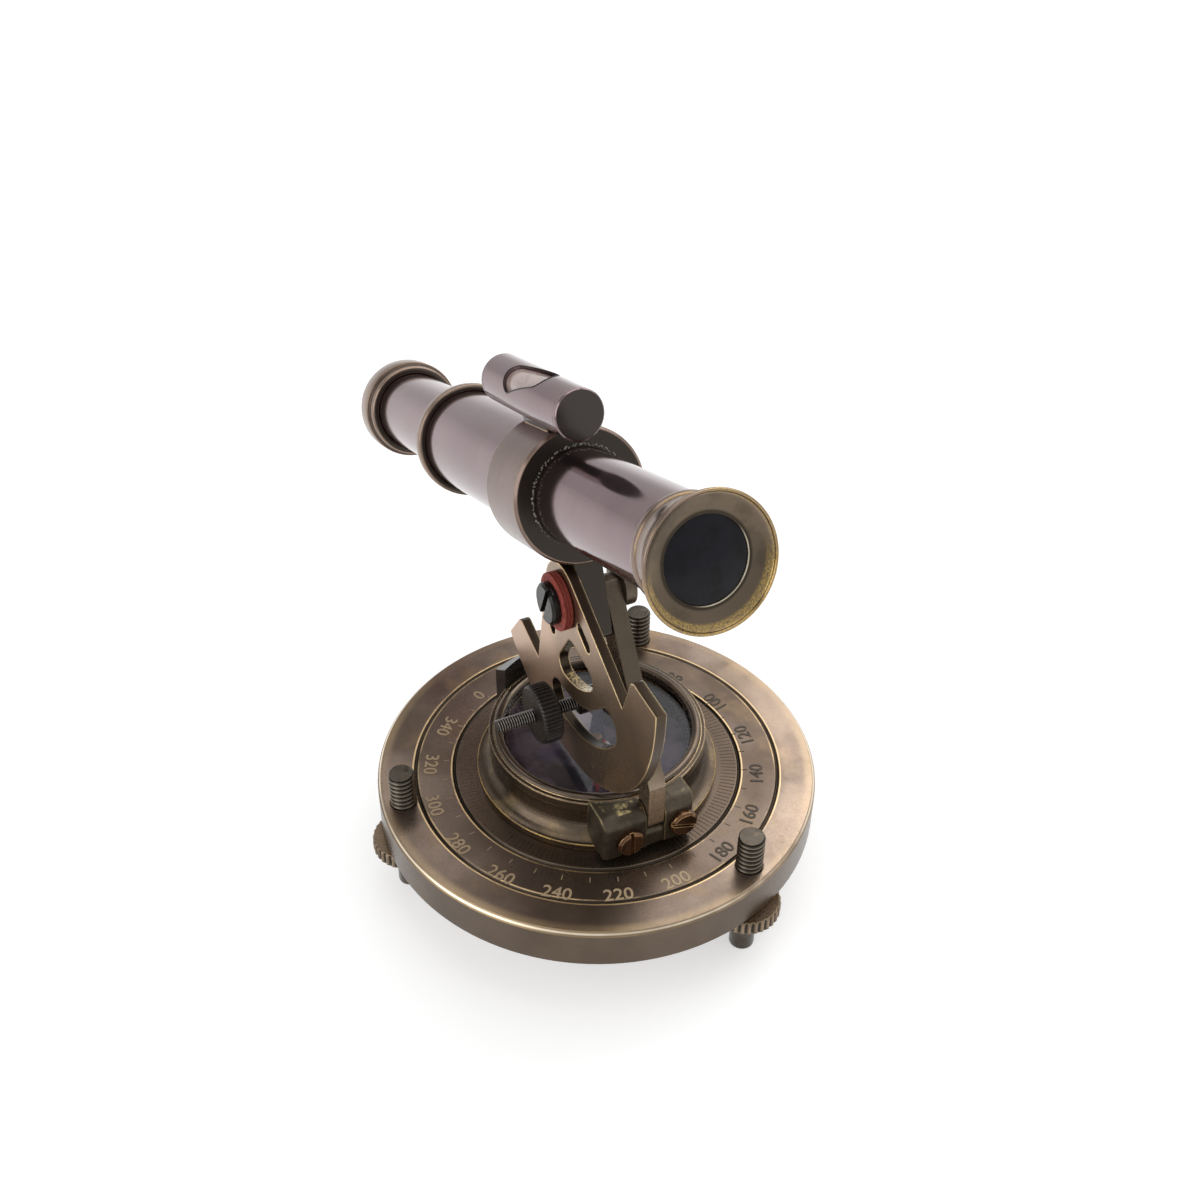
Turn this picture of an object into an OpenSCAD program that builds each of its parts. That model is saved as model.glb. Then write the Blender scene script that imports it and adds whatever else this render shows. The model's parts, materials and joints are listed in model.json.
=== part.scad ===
// Alidade: a sighting telescope on a folding arm above a compass, on a levelling base.
// Millimetres. The origin is on the table under the base's centre. +X is the way the
// telescope looks, +Z is up and -Y is the side of the clamp.

/* [Base] */
// Diameter of the base plate
base_d = 100; // [96:1:120]
// Thickness of the base plate
base_h = 10.2; // [9:0.2:14]
// Chamfer of the base plate's edges
base_edge = 0.8; // [0.4:0.1:1.5]
// Diameter of the outer turned groove
outer_groove_d = 82.7; // [76:0.1:83]
// Diameter of the inner turned groove
inner_groove_d = 65.2; // [60:0.2:70]
// Width of the turned grooves
groove_w = 0.9; // [0.5:0.1:1.5]
// Depth of the turned grooves
groove_depth = 0.5; // [0.3:0.1:1]
// Diameter of the recess under the base
recess_d = 22; // [20:0.5:40]

/* [Levelling screws] */
// Diameter of the levelling rods
rod_d = 5.9; // [5:0.1:6.4]
// Distance of the rods' axes from the base's edge
rod_inset = 5.1; // [4.6:0.1:5.4]
// Height of the rods above the base
rod_rise = 8.9; // [6:0.1:14]
// Turn of the first rod about the vertical, in degrees
rod_turn = 21.3; // [0:0.1:119]
// Length of the rods below the finger wheels
foot_l = 11; // [8:0.1:16]
// Chamfer at the rods' top ends, the feet being flat
rod_edge = 0.7; // [0.3:0.1:1]
// How much thinner the plain foot is than the rod, in radius
foot_step = 0.15; // [0.1:0.05:0.5]
// Length of the rod's full thickness left under the finger wheel
foot_neck = 0.4; // [0.3:0.1:1]
// Diameter of the finger wheels
wheel_d = 15.6; // [13:0.1:20]
// Thickness of the finger wheels
wheel_t = 3.5; // [2.5:0.1:6]
// Ridges round a finger wheel
wheel_ridges = 44; // [30:1:60]
// Depth of the knurling on the wheels and the clamp nut
knurl_depth = 0.4; // [0.2:0.05:0.6]
// Width and height of the step at the faces of the wheels and the clamp nut
wheel_edge = 0.4; // [0.2:0.1:0.8]

/* [Spindle] */
// Diameter of the spindle
spindle_d = 8; // [6:0.5:10]
// Diameter of the spindle's head
spindle_head_d = 14; // [12:0.5:20]
// Thickness of the spindle's head
spindle_head_t = 1.4; // [1:0.1:2]
// Diameter of the spindle's washer
spindle_washer_d = 18; // [15:0.5:24]
// Thickness of the spindle's washer
spindle_washer_t = 0.8; // [0.5:0.1:1.2]
// Diameter of the spindle's nut over its corners
spindle_nut_d = 15; // [13:0.5:20]
// Thickness of the spindle's nut
spindle_nut_t = 3; // [2:0.1:3.4]

/* [Compass] */
// Diameter of the compass box's wall
wall_d = 47; // [44:0.2:50]
// Thickness of the wall
wall_t = 2.7; // [2.4:0.1:3.5]
// Height of the wall's top above the base
wall_h = 9.35; // [8.5:0.05:12]
// Thickness of the box's floor
floor_t = 3; // [2.5:0.1:3.6]
// Width of the flange outside the wall, also the radius of its cove
flange_w = 3.8; // [3:0.1:5]
// Thickness of the flange
flange_t = 1.6; // [1.2:0.1:2]
// Overhang of the bezel ring outside the wall
bezel_lap = 0.9; // [0.5:0.1:1.2]
// Height of the bezel ring
bezel_h = 3; // [2.4:0.1:4]
// Width of the bezel ring
bezel_w = 3.2; // [2.8:0.1:4]
// Width and height of the bezel's step
bezel_step = 0.8; // [0.5:0.1:1.2]
// Thickness of the glass
glass_t = 1; // [0.8:0.1:1.4]
// Overlap of the bezel ring on the glass
glass_lap = 1.2; // [0.8:0.1:1.5]
// Thickness of the dial
dial_t = 0.6; // [0.4:0.1:1]
// Length of the needle
needle_l = 34; // [26:1:38]
// Width of the needle
needle_w = 4; // [3:0.1:6]
// Thickness of the needle
needle_t = 0.4; // [0.3:0.05:0.6]
// Height of the needle above the dial
needle_rise = 2.6; // [2:0.1:3]
// Turn of the needle from the line of sight, in degrees
needle_turn = -25; // [-180:1:180]
// Diameter of the needle's cap
needle_cap_d = 3; // [2.4:0.1:3.6]
// Height of the rest block's top above the base
rest_h = 17; // [15:0.5:22]
// Width of the rest block
rest_w = 9.3; // [6:0.1:12]
// Distance of the rest block from the middle plane
rest_offset = 4.6; // [2:0.1:6]
// Least thickness of the rest block behind the bezel
rest_t = 1.6; // [1.2:0.1:2.6]

/* [Hinge and arm] */
// Diameter of the hinge pin
pin_d = 2.4; // [2:0.1:3]
// Height of the hinge pin above the base
hinge_h = 8.6; // [7.5:0.1:9.5]
// Length of the cheek on the clamp's side
near_cheek_l = 10; // [9:0.1:12]
// Length of the cheek on the far side
far_cheek_l = 7; // [6.6:0.1:10]
// Height of the cheeks
cheek_h = 10.7; // [10:0.1:12]
// Radius of the cheeks' upright corners
cheek_corner = 1.2; // [0.4:0.1:2]
// Radius of the cheeks' upper front edges
cheek_round = 3; // [0.4:0.1:3.2]
// Gap between the bridge that joins the cheeks and the arm's tongue
bridge_gap = 0.3; // [0.2:0.05:1]
// Depth of the pin in each cheek
pin_depth = 5; // [3:0.1:6]
// Thickness of the arm
arm_t = 3.8; // [3:0.1:5]
// Width of the arm
arm_w = 5.7; // [5:0.1:7]
// Width of the arm's tongue in the hinge
tongue_w = 4.6; // [4:0.1:5]
// Height of the arm's bend above the base
bend_h = 17; // [16:0.5:20]
// Radius of the ear that carries the clamp's stud
ear_r = 4.5; // [3.5:0.1:5.5]
// Rise of the ear from the stud to the arm
ear_rise = 5; // [2:0.5:8]
// Diameter of the hinge screws
hinge_screw_d = 2.2; // [1.8:0.1:2.6]
// Diameter of the hinge screws' heads
hinge_head_d = 6.4; // [5:0.1:7]
// Thickness of the hinge screws' heads
hinge_head_t = 1.7; // [1.2:0.1:2.4]
// Distance of the hinge screws from the middle plane
hinge_screw_offset = 6.3; // [6:0.1:6.6]
// Height of the near hinge screw above the base
hinge_screw_h = 5.6; // [5:0.1:6]
// Height of the far hinge screw above the near one
far_screw_rise = 0.6; // [0:0.1:0.8]
// Turn of the far hinge screw's slot, in degrees
far_slot_turn = 70; // [0:1:90]
// Chamfer of the screws' heads
head_edge = 0.5; // [0.3:0.1:0.8]
// Width of the hinge screws' slots
slot_w = 0.9; // [0.6:0.1:1.2]
// Depth of the hinge screws' slots
slot_depth = 0.7; // [0.4:0.1:0.9]

/* [Sector] */
// Radius of the sector's arc
sector_r = 40.9; // [40:0.1:46]
// Distance of the arc's centre above the pivot
arc_lift = 1.5; // [0:0.1:3]
// Thickness of the sector
sector_t = 2.2; // [2:0.1:4]
// Clearance of the sector above the bezel ring
sector_clear = 1.1; // [0.5:0.1:3]
// Radius of the sector's boss
boss_r = 8.2; // [7.5:0.1:9]
// Half angle between the sector's straight edges, in degrees
edge_angle = 35; // [32:0.5:38]
// Depth of the V notches along the sector's middle line
notch_depth = 17.9; // [17:0.1:19]
// Depth of the prongs' tips along the sector's middle line
prong_depth = 10.3; // [9:0.1:12]
// Distance of the prongs' tips from the sector's middle line
prong_offset = 30; // [29:0.1:31]
// Radius of the prongs' tips
prong_round = 0.8; // [0.4:0.1:1.2]
// Depth of the sector's corners along the sector's middle line
corner_depth = 15.2; // [14:0.1:17]
// Radius of the curved slot's middle
slot_r = 27.5; // [26:0.1:28]
// Width of the curved slot
arc_slot_w = 8; // [3.6:0.1:8.4]
// Half angle of the curved slot between the middles of its ends, in degrees
slot_half = 28; // [24:0.1:30]
// Top of the large opening along the sector's middle line
window_top = 8.9; // [8:0.1:10]
// Bottom of the large opening along the sector's middle line
window_bottom = 19.4; // [17:0.1:20]
// Half width of the large opening
window_half = 8.8; // [7:0.1:10]
// Radius of the large opening's corners
window_round = 2.6; // [2:0.1:3.4]
// Distance of the small openings from the sector's middle line
leaf_offset = 8.3; // [8:0.1:9]
// Depth of the small openings along the sector's middle line
leaf_depth = 6.6; // [6:0.1:7.2]
// Length of the small openings
leaf_l = 3.8; // [3:0.1:5]
// Width of the small openings
leaf_w = 2.8; // [1.4:0.1:3]
// Turn of the sector's middle line from square to the tube, in degrees
sector_set = 4.7; // [2:0.1:6]

/* [Pivot and clamp] */
// Distance of the pivot in front of the base's centre
pivot_x = 4.2; // [0:0.1:8]
// Diameter of the pivot screw
pivot_d = 4; // [3:0.1:5]
// Diameter of the pivot screw's head
pivot_head_d = 9; // [8:0.1:11]
// Thickness of the pivot screw's head
pivot_head_t = 1.9; // [1.6:0.1:3]
// Width of the pivot screw's slot
pivot_slot_w = 1.5; // [1:0.1:2]
// Depth of the pivot screw's slot
pivot_slot_depth = 1.1; // [0.6:0.1:1.2]
// Turn of the pivot screw's slot from the vertical, in degrees
pivot_slot_turn = 22; // [0:1:90]
// Diameter of the fibre washers
washer_d = 12.4; // [11:0.1:14]
// Thickness of a fibre washer
washer_t = 0.65; // [0.5:0.05:1]
// Chamfer of a fibre washer's rims
washer_edge = 0.15; // [0.1:0.05:0.2]
// Diameter of the pivot nut
pivot_nut_d = 9.6; // [8:0.1:12]
// Thickness of the pivot nut
pivot_nut_t = 2.5; // [2:0.1:5]
// Diameter of the clamp's stud
stud_d = 3; // [2.4:0.1:3.4]
// Diameter of the stud's shoulder
shoulder_d = 5.6; // [5.2:0.1:7]
// Length of the stud beyond the sector
stud_reach = 15.4; // [10:0.1:20]
// Direction of the stud from the pivot, in degrees above the horizontal
stud_dir = -85.6; // [-93:0.1:-84]
// Diameter of the clamp nut
clamp_nut_d = 13; // [11:0.1:16]
// Thickness of the clamp nut
clamp_nut_t = 4.4; // [2.5:0.1:5]
// Gap between the sector and the clamp nut, which is screwed back
clamp_gap = 3.3; // [0.2:0.1:4]
// Ridges round the clamp nut
clamp_ridges = 36; // [24:1:48]

/* [Telescope] */
// Upward tilt of the telescope, in degrees
tilt = 20.3; // [-24:0.1:22]
// Height of the tube's axis above the pivot
axis_rise = 22.1; // [22:0.1:26]
// Thickness of the lug
lug_t = 6; // [5:0.1:8]
// Length of the lug along the tube
lug_l = 8.4; // [7:0.1:10]
// Length of the lug below the pivot
lug_drop = 9.2; // [7:0.1:11]
// Radius of the lug's lower edges
lug_round = 1; // [0.5:0.1:2]
// Diameter of the collar
collar_d = 28.2; // [27:0.1:28.4]
// Front of the collar, from the pivot
collar_front = 6.1; // [5:0.1:8]
// Back of the collar, from the pivot
collar_back = 10; // [8:0.1:12]
// Thickness of the collar's front lip
collar_lip = 2; // [1.5:0.1:3]
// Chamfer of the collar's edges
collar_edge = 0.5; // [0.3:0.1:0.8]
// Diameter of the front tube
front_tube_d = 19.5; // [18:0.1:20]
// Length of the front tube inside the collar
front_tube_in = 4; // [2:0.1:5]
// Diameter of the rear tube
rear_tube_d = 22.9; // [21.8:0.1:23.4]
// Thickness of the front and rear tubes
tube_t = 0.9; // [0.7:0.05:1]
// Distance of the objective's rim from the pivot
objective_reach = 60.5; // [50:0.5:80]
// Length of the objective cell
cell_l = 10.2; // [9.5:0.1:14]
// Diameter of the objective cell's rim
rim_d = 25.5; // [24:0.1:28]
// Diameter of the objective cell's bead
bead_d = 21; // [20.8:0.1:22]
// Width of the objective cell's bead
bead_w = 1.7; // [1.6:0.1:3]
// Length of the cell's socket on the front tube
cell_socket = 4.5; // [3:0.1:5]
// Diameter of the objective's aperture
aperture_d = 15.9; // [13:0.1:16.4]
// Depth of the aperture behind the rim
aperture_depth = 1.6; // [1:0.1:2]
// Length of the aperture's bore
aperture_l = 0.8; // [0.6:0.1:2]
// Thickness of the objective lens at its edge
lens_t = 2; // [1.4:0.1:2.2]
// Bulge of the objective lens
lens_bulge = 0.8; // [0.4:0.1:1.2]
// Length of the objective's retainer
retainer_l = 1.8; // [1:0.1:3]
// Width of the objective's retainer
retainer_w = 1.2; // [0.8:0.1:1.6]

/* [Eyepiece] */
// Diameter of the rear ring
rear_ring_d = 26.2; // [25:0.1:30]
// Length of the rear ring
rear_ring_l = 2.8; // [2.4:0.1:8]
// Depth of the rear tube in the rear ring
rear_ring_socket = 1.4; // [1:0.1:1.6]
// Distance of the rear ring's front from the pivot
rear_ring_back = 57.4; // [50:0.1:70]
// Diameter of the draw tube
draw_d = 18.9; // [18:0.1:19.2]
// Thickness of the draw tube
draw_t = 0.8; // [0.6:0.05:0.85]
// Bare length of the draw tube behind the rear ring
draw_out = 41.6; // [38:0.1:60]
// Length of the draw tube inside the rear ring and the rear tube
draw_in = 19; // [14:0.1:20]
// Length of the draw tube's bush
bush_l = 6; // [4:0.1:8]
// Diameter of the eyepiece's step
eye_step_d = 22.8; // [21:0.1:23]
// Length of the eyepiece's step
eye_step_l = 2.6; // [1.5:0.1:4]
// Diameter of the eyepiece's flange
eye_flange_d = 24.4; // [24:0.1:28]
// Length of the eyepiece's flange
eye_flange_l = 6; // [5.4:0.1:8]
// Chamfer of the eyepiece's and the rear ring's edges
eye_edge = 0.6; // [0.3:0.1:0.9]
// Depth of the draw tube in the eyepiece
eye_socket = 3.4; // [2.4:0.1:3.8]
// Diameter of the eye lens
eye_lens_d = 16; // [14:0.1:16.2]
// Thickness of the eye lens at its edge
eye_lens_t = 1.6; // [1:0.1:2]
// Length of the eye lens's retainer
eye_retainer_l = 1.2; // [0.8:0.1:1.4]
// Diameter of the eye hole
eye_hole_d = 9; // [7:0.1:12]

/* [Level] */
// Diameter of the level's tube
level_d = 10.2; // [9:0.1:12]
// Length of the level over its caps
level_l = 38.7; // [32:0.1:50]
// Thickness of the level's tube
level_t = 0.7; // [0.5:0.05:1]
// Height of the level's middle above the collar
level_lift = 0.4; // [0.1:0.1:0.8]
// Rise of the level's back against the tube, in degrees
level_pitch = 2.7; // [0:0.1:3]
// Width of the level's seat on the collar
seat_w = 5; // [4:0.1:6]
// Length of the level's seat on the collar
seat_l = 12; // [8:0.1:13]
// Turn of the level about the tube from straight above, in degrees
level_turn = 6.6; // [-20:0.1:20]
// Middle of the level behind the pivot
level_back = 2.35; // [0:0.05:4]
// Length of the level's window
level_window_l = 16; // [10:0.1:20]
// Width of the level's window
level_window_w = 6; // [3:0.1:6.4]
// Turn of the window about the level, in degrees
level_window_turn = 20; // [0:1:40]
// Turn of the window askew to the level, in degrees
level_window_skew = 14; // [0:1:20]
// Thickness of the level's caps
level_cap_t = 1.2; // [0.8:0.1:2]
// Chamfer of the level's caps
level_cap_edge = 0.3; // [0.2:0.1:0.6]
// Depth of the caps in the level's tube
level_plug_l = 2; // [1:0.1:3]

/* [Fits] */
// Radial clearance of a piece that turns or slides in a bore
run_gap = 0.05; // [0.02:0.01:0.08]
// Radial clearance of a piece fixed in a bore
seat_gap = 0.02; // [0.01:0.01:0.05]
// Clearance between faces that turn on each other
face_gap = 0.15; // [0.1:0.05:0.3]
// Clearance between faces that move past each other
side_gap = 0.3; // [0.2:0.05:0.5]

/* [Hidden] */
$fn = 96;
// Overlap of a cutting shape past the face it cuts
cut = 1;
// Steps of an arc in a turned profile
arc_steps = 8;

base_r = base_d / 2;
base_z = foot_l + wheel_t + side_gap;
top_z = base_z + base_h;
rod_circle_r = base_r - rod_inset;
recess_depth = face_gap + spindle_washer_t + spindle_nut_t + side_gap;

wall_r = wall_d / 2;
bezel_r = wall_r + bezel_lap;
bezel_open_r = bezel_r - bezel_w;
flange_r = wall_r + flange_w;
box_z = top_z + face_gap;
flange_z = box_z + flange_t;
floor_z = box_z + floor_t;
wall_z = top_z + wall_h;
bezel_z = wall_z + bezel_h;
dial_z = floor_z + dial_t;
needle_z = dial_z + needle_rise;
cap_neck_r = needle_cap_d / 3;
cap_bore_r = needle_cap_d / 6;
cap_bore_top = needle_z + needle_t;
cap_h = needle_cap_d / 3;

hinge_x = bezel_r + side_gap + tongue_w / 2;
hinge_z = top_z + hinge_h;
bend_z = top_z + bend_h;
cheek_x = hinge_x + tongue_w / 2;
cheek_y = arm_t / 2 + side_gap;
// Length of the hinge screws from the cheeks' face to the inside of the wall
hinge_screw_l = cheek_x - wall_r + wall_t;
pivot_z = bezel_z + sector_clear + sector_r;
arm_run = [pivot_x - hinge_x, pivot_z - bend_z];
arm_dir = arm_run / norm(arm_run);
arm_side = [arm_dir.y, -arm_dir.x] * arm_w / 2;
stud_x = pivot_x + slot_r * cos(stud_dir);
stud_z = pivot_z + slot_r * sin(stud_dir);
ear_z = stud_z + ear_rise;
ear_x = hinge_x + (ear_z - bend_z) * arm_dir.x / arm_dir.y;

// Distances from the middle plane towards the clamp's side
lug_near = cheek_y + lug_t;
sector_near = lug_near + sector_t;
washer_near = sector_near + face_gap + 3 * washer_t;
tube_y = -(cheek_y + lug_t / 2);

collar_r = collar_d / 2;
front_r = front_tube_d / 2;
front_in_r = front_r - tube_t;
rear_r = rear_tube_d / 2;
rear_in_r = rear_r - tube_t;
rim_r = rim_d / 2;
bead_r = bead_d / 2;
aperture_r = aperture_d / 2;
cell_back = objective_reach - cell_l;
tube_end = cell_back + cell_socket;
lens_front = objective_reach - aperture_depth - aperture_l;
lens_back = lens_front - lens_t;
glass_r = front_in_r - seat_gap;

draw_r = draw_d / 2;
ring_front = -rear_ring_back;
ring_back = ring_front - rear_ring_l;
rear_tube_end = ring_front - rear_ring_socket;
draw_front = ring_back + draw_in;
cap_front = ring_back - draw_out;
draw_back = cap_front - eye_socket;
step_back = cap_front - eye_step_l;
cap_back = step_back - eye_flange_l;
eye_r = eye_lens_d / 2;
eye_lens_front = draw_back - eye_retainer_l;
eye_lens_back = eye_lens_front - eye_lens_t;

level_r = level_d / 2;
level_in_r = level_r - level_t;
level_reach = collar_r + level_r + level_lift;
plug_r = level_in_r - seat_gap;
// Depth of the level's seat inside the collar
seat_sink = (collar_r - rear_r) / 2;

// Points of an arc about a centre
function arc_points(c, r, from, to) =
    [for (i = [0:arc_steps]) let (a = from + (to - from) * i / arc_steps) c + r * [cos(a), sin(a)]];

// Outline of a straight-knurled round
function knurl_points(r, n) =
    [for (i = [0:2 * n - 1]) let (a = i * 180 / n) (r - (i % 2) * knurl_depth) * [cos(a), sin(a)]];

// Unit vector to the right of the way from one point to another
function right_of(from, to) = let (d = to - from) [d.y, -d.x] / norm(d);

// Height at which a line along the arm meets a vertical line
function arm_meets(offset, x) = bend_z + offset.y + (x - hinge_x - offset.x) * arm_dir.y / arm_dir.x;

// Profile of the compass box, grown by a clearance
function box_profile(g) = concat(
    [[0, box_z], [flange_r + g, box_z]],
    arc_points([flange_r + g, flange_z + flange_w], flange_w - g, 270, 180),
    [[wall_r + g, wall_z], [0, wall_z]]);

module ring(r, hole, from, to) {
    translate([0, 0, from])
    difference() {
        cylinder(r = r, h = to - from);
        translate([0, 0, -cut]) cylinder(r = hole, h = to - from + 2 * cut);
    }
}

// Convex plate with round corners about the given points, which run anticlockwise
module round_plate(points, r, h) {
    last = len(points) - 1;
    for (p = points) translate(p) cylinder(r = r, h = h);
    linear_extrude(h)
    polygon([for (i = [0:last])
        let (a = points[i], b = points[i == last ? 0 : i + 1], n = right_of(a, b) * r)
        each [a + n, b + n]]);
}

// Round with a chamfer at its upper face
module chamfered(r, h) {
    rotate_extrude() polygon([[0, 0], [r, 0], [r, h - head_edge], [r - head_edge, h], [0, h]]);
}

// Straight-knurled round with a step at both faces
module knurled(r, n, t) {
    translate([0, 0, wheel_edge]) linear_extrude(t - 2 * wheel_edge) polygon(knurl_points(r, n));
    cylinder(r = r - knurl_depth - wheel_edge, h = t);
}

// Frame with X along the tube, Y as in the part, Z up and the origin at the pivot
module at_pivot() {
    translate([pivot_x, 0, pivot_z]) rotate([0, -tilt, 0]) children();
}

// Frame with Z along the tube's axis, measured from the pivot
module on_tube() {
    at_pivot() translate([0, tube_y, axis_rise]) rotate([0, 90, 0]) children();
}

// Frame with Z along the level's axis and X away from the tube
module on_level() {
    on_tube() rotate([0, 0, 180 + level_turn])
        translate([level_reach, 0, -level_back]) rotate([0, -level_pitch, 0]) children();
}

// Frame with Z from the middle plane towards the clamp's side
module across(x, z) {
    translate([x, 0, z]) rotate([90, 0, 0]) children();
}

module at_rod(i) {
    rotate([0, 0, rod_turn + i * 120]) translate([rod_circle_r, 0, 0]) children();
}

module base_plate() {
    color("#6b5a3a")
    difference() {
        rotate_extrude()
        polygon([
            [0, base_z], [base_r - base_edge, base_z], [base_r, base_z + base_edge],
            [base_r, top_z - base_edge], [base_r - base_edge, top_z],
            [(outer_groove_d + groove_w) / 2, top_z], [outer_groove_d / 2, top_z - groove_depth],
            [(outer_groove_d - groove_w) / 2, top_z],
            [(inner_groove_d + groove_w) / 2, top_z], [inner_groove_d / 2, top_z - groove_depth],
            [(inner_groove_d - groove_w) / 2, top_z], [0, top_z]]);
        translate([0, 0, base_z - cut]) cylinder(d = recess_d, h = recess_depth + cut);
        translate([0, 0, base_z]) cylinder(r = spindle_d / 2 + run_gap, h = base_h + cut);
        for (i = [0:2])
            at_rod(i) translate([0, 0, base_z - cut]) cylinder(r = rod_d / 2 + run_gap, h = base_h + 2 * cut);
    }
}

module levelling_rod(i) {
    r = rod_d / 2;
    end = top_z + rod_rise;
    color("#4a443c")
    at_rod(i)
    rotate_extrude()
    polygon([[0, 0], [r - foot_step, 0], [r - foot_step, foot_l - foot_neck], [r, foot_l - foot_neck],
        [r, end - rod_edge], [r - rod_edge, end], [0, end]]);
}

module levelling_wheel(i) {
    color("#8a7448")
    at_rod(i)
    translate([0, 0, foot_l])
    difference() {
        knurled(wheel_d / 2, wheel_ridges, wheel_t);
        translate([0, 0, -cut]) cylinder(r = rod_d / 2 + seat_gap, h = wheel_t + 2 * cut);
    }
}

module azimuth_spindle() {
    color("#5a5550")
    union() {
        translate([0, 0, floor_z - spindle_head_t]) cylinder(d = spindle_head_d, h = spindle_head_t);
        translate([0, 0, base_z + side_gap])
            cylinder(d = spindle_d, h = floor_z - spindle_head_t / 2 - base_z - side_gap);
    }
}

module spindle_washer() {
    color("#8a7448")
    ring(spindle_washer_d / 2, spindle_d / 2 + seat_gap,
        base_z + side_gap + spindle_nut_t, base_z + side_gap + spindle_nut_t + spindle_washer_t);
}

module spindle_nut() {
    color("#6b5a3a")
    translate([0, 0, base_z + side_gap])
    difference() {
        cylinder(d = spindle_nut_d, h = spindle_nut_t, $fn = 6);
        translate([0, 0, -cut]) cylinder(r = spindle_d / 2 + seat_gap, h = spindle_nut_t + 2 * cut);
    }
}

// Places of the two hinge screws, with Z along the screw away from the box
module at_hinge_screws() {
    translate([cheek_x, -hinge_screw_offset, top_z + hinge_screw_h]) rotate([0, 90, 0]) children();
    translate([cheek_x, hinge_screw_offset, top_z + hinge_screw_h + far_screw_rise])
        rotate([0, 90, 0]) rotate([0, 0, far_slot_turn]) children();
}

module hinge_screw_bores() {
    at_hinge_screws()
        translate([0, 0, -hinge_screw_l])
        cylinder(r = hinge_screw_d / 2 + seat_gap, h = hinge_screw_l + cut);
}

module compass_box() {
    color("#5f5338")
    difference() {
        rotate_extrude() polygon(box_profile(0));
        translate([0, 0, floor_z]) cylinder(r = wall_r - wall_t, h = wall_z - floor_z + cut);
        translate([0, 0, floor_z - spindle_head_t])
            cylinder(r = spindle_head_d / 2 + seat_gap, h = spindle_head_t + cut);
        translate([0, 0, box_z - cut]) cylinder(r = spindle_d / 2 + seat_gap, h = floor_t + cut);
        hinge_screw_bores();
    }
}

module bezel_ring() {
    glass_seat_r = bezel_open_r + glass_lap + seat_gap;
    color("#7a6a44")
    rotate_extrude()
    polygon([
        [glass_seat_r, wall_z], [bezel_r, wall_z], [bezel_r, bezel_z - bezel_step],
        [bezel_r - bezel_step, bezel_z - bezel_step], [bezel_r - bezel_step, bezel_z],
        [bezel_open_r, bezel_z], [bezel_open_r, wall_z + glass_t], [glass_seat_r, wall_z + glass_t]]);
}

module compass_glass() {
    color("#9aa0b0", 0.5)
    translate([0, 0, wall_z]) cylinder(r = bezel_open_r + glass_lap, h = glass_t);
}

module compass_dial() {
    color("#23212a")
    translate([0, 0, floor_z]) cylinder(r = wall_r - wall_t - seat_gap, h = dial_t);
}

module needle_pin() {
    tip_r = cap_bore_r / 2;
    foot_r = needle_cap_d / 2;
    color("#b09050")
    rotate_extrude()
    polygon([
        [0, dial_z], [foot_r, dial_z], [foot_r, dial_z + needle_rise / 4],
        [tip_r, dial_z + needle_rise / 2], [tip_r, cap_bore_top - run_gap], [0, cap_bore_top - run_gap]]);
}

module compass_needle() {
    color("#33406a")
    rotate([0, 0, needle_turn])
    translate([0, 0, needle_z])
    difference() {
        linear_extrude(needle_t)
            polygon([[needle_l / 2, 0], [0, needle_w / 2], [-needle_l / 2, 0], [0, -needle_w / 2]]);
        translate([0, 0, -cut]) cylinder(r = cap_neck_r + seat_gap, h = needle_t + 2 * cut);
    }
}

module needle_cap() {
    top = cap_bore_top + cap_h;
    skirt = needle_z - needle_t;
    color("#b09050")
    rotate_extrude()
    polygon([
        [cap_bore_r, skirt], [cap_neck_r, skirt], [cap_neck_r, cap_bore_top],
        [needle_cap_d / 2, cap_bore_top], [cap_neck_r, top], [0, top], [0, cap_bore_top],
        [cap_bore_r, cap_bore_top]]);
}

// The box and the bezel ring as a shape to cut from what stands against them
module box_cutter() {
    rotate_extrude() polygon(box_profile(seat_gap));
    translate([0, 0, wall_z]) cylinder(r = bezel_r + seat_gap, h = rest_h);
}

module rest_block() {
    color("#2b2620")
    difference() {
        translate([-bezel_r - rest_t, -rest_offset - rest_w, flange_z + seat_gap])
            cube([bezel_r + rest_t - wall_r + bezel_w, rest_w, top_z + rest_h - flange_z - seat_gap]);
        box_cutter();
    }
}

// Cheek of the hinge, with a bridge of the given length towards the other cheek
module cheek(l, bridge) {
    low = flange_z + seat_gap;
    high = flange_z + cheek_h;
    far = cheek_y + l;
    inner_x = wall_r - wall_t;
    bridge_z = hinge_z - tongue_w / 2 - bridge_gap;
    difference() {
        union() {
            intersection() {
                translate([0, far, 0]) rotate([90, 0, 0]) linear_extrude(l)
                    polygon(concat([[inner_x, low], [cheek_x, low]],
                        arc_points([cheek_x - cheek_round, high - cheek_round], cheek_round, 0, 90),
                        [[inner_x, high]]));
                translate([0, 0, low]) linear_extrude(high - low)
                    polygon(concat([[inner_x, cheek_y], [cheek_x, cheek_y]],
                        arc_points([cheek_x - cheek_corner, far - cheek_corner], cheek_corner, 0, 90),
                        [[inner_x, far]]));
            }
            if (bridge > 0)
                translate([0, cheek_y + cut, 0]) rotate([90, 0, 0]) linear_extrude(bridge + cut)
                    polygon(concat([[inner_x, low], [cheek_x - side_gap, low]],
                        arc_points([cheek_x - side_gap - cheek_corner, bridge_z - cheek_corner],
                            cheek_corner, 0, 90),
                        [[inner_x, bridge_z]]));
        }
        box_cutter();
        translate([hinge_x, cheek_y + pin_depth, hinge_z]) rotate([90, 0, 0])
            cylinder(r = pin_d / 2 + seat_gap, h = pin_depth + cut);
    }
}

module hinge_block_near() {
    color("#4f473c")
    difference() {
        mirror([0, 1, 0]) cheek(near_cheek_l, 2 * cheek_y - seat_gap);
        hinge_screw_bores();
    }
}

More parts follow.
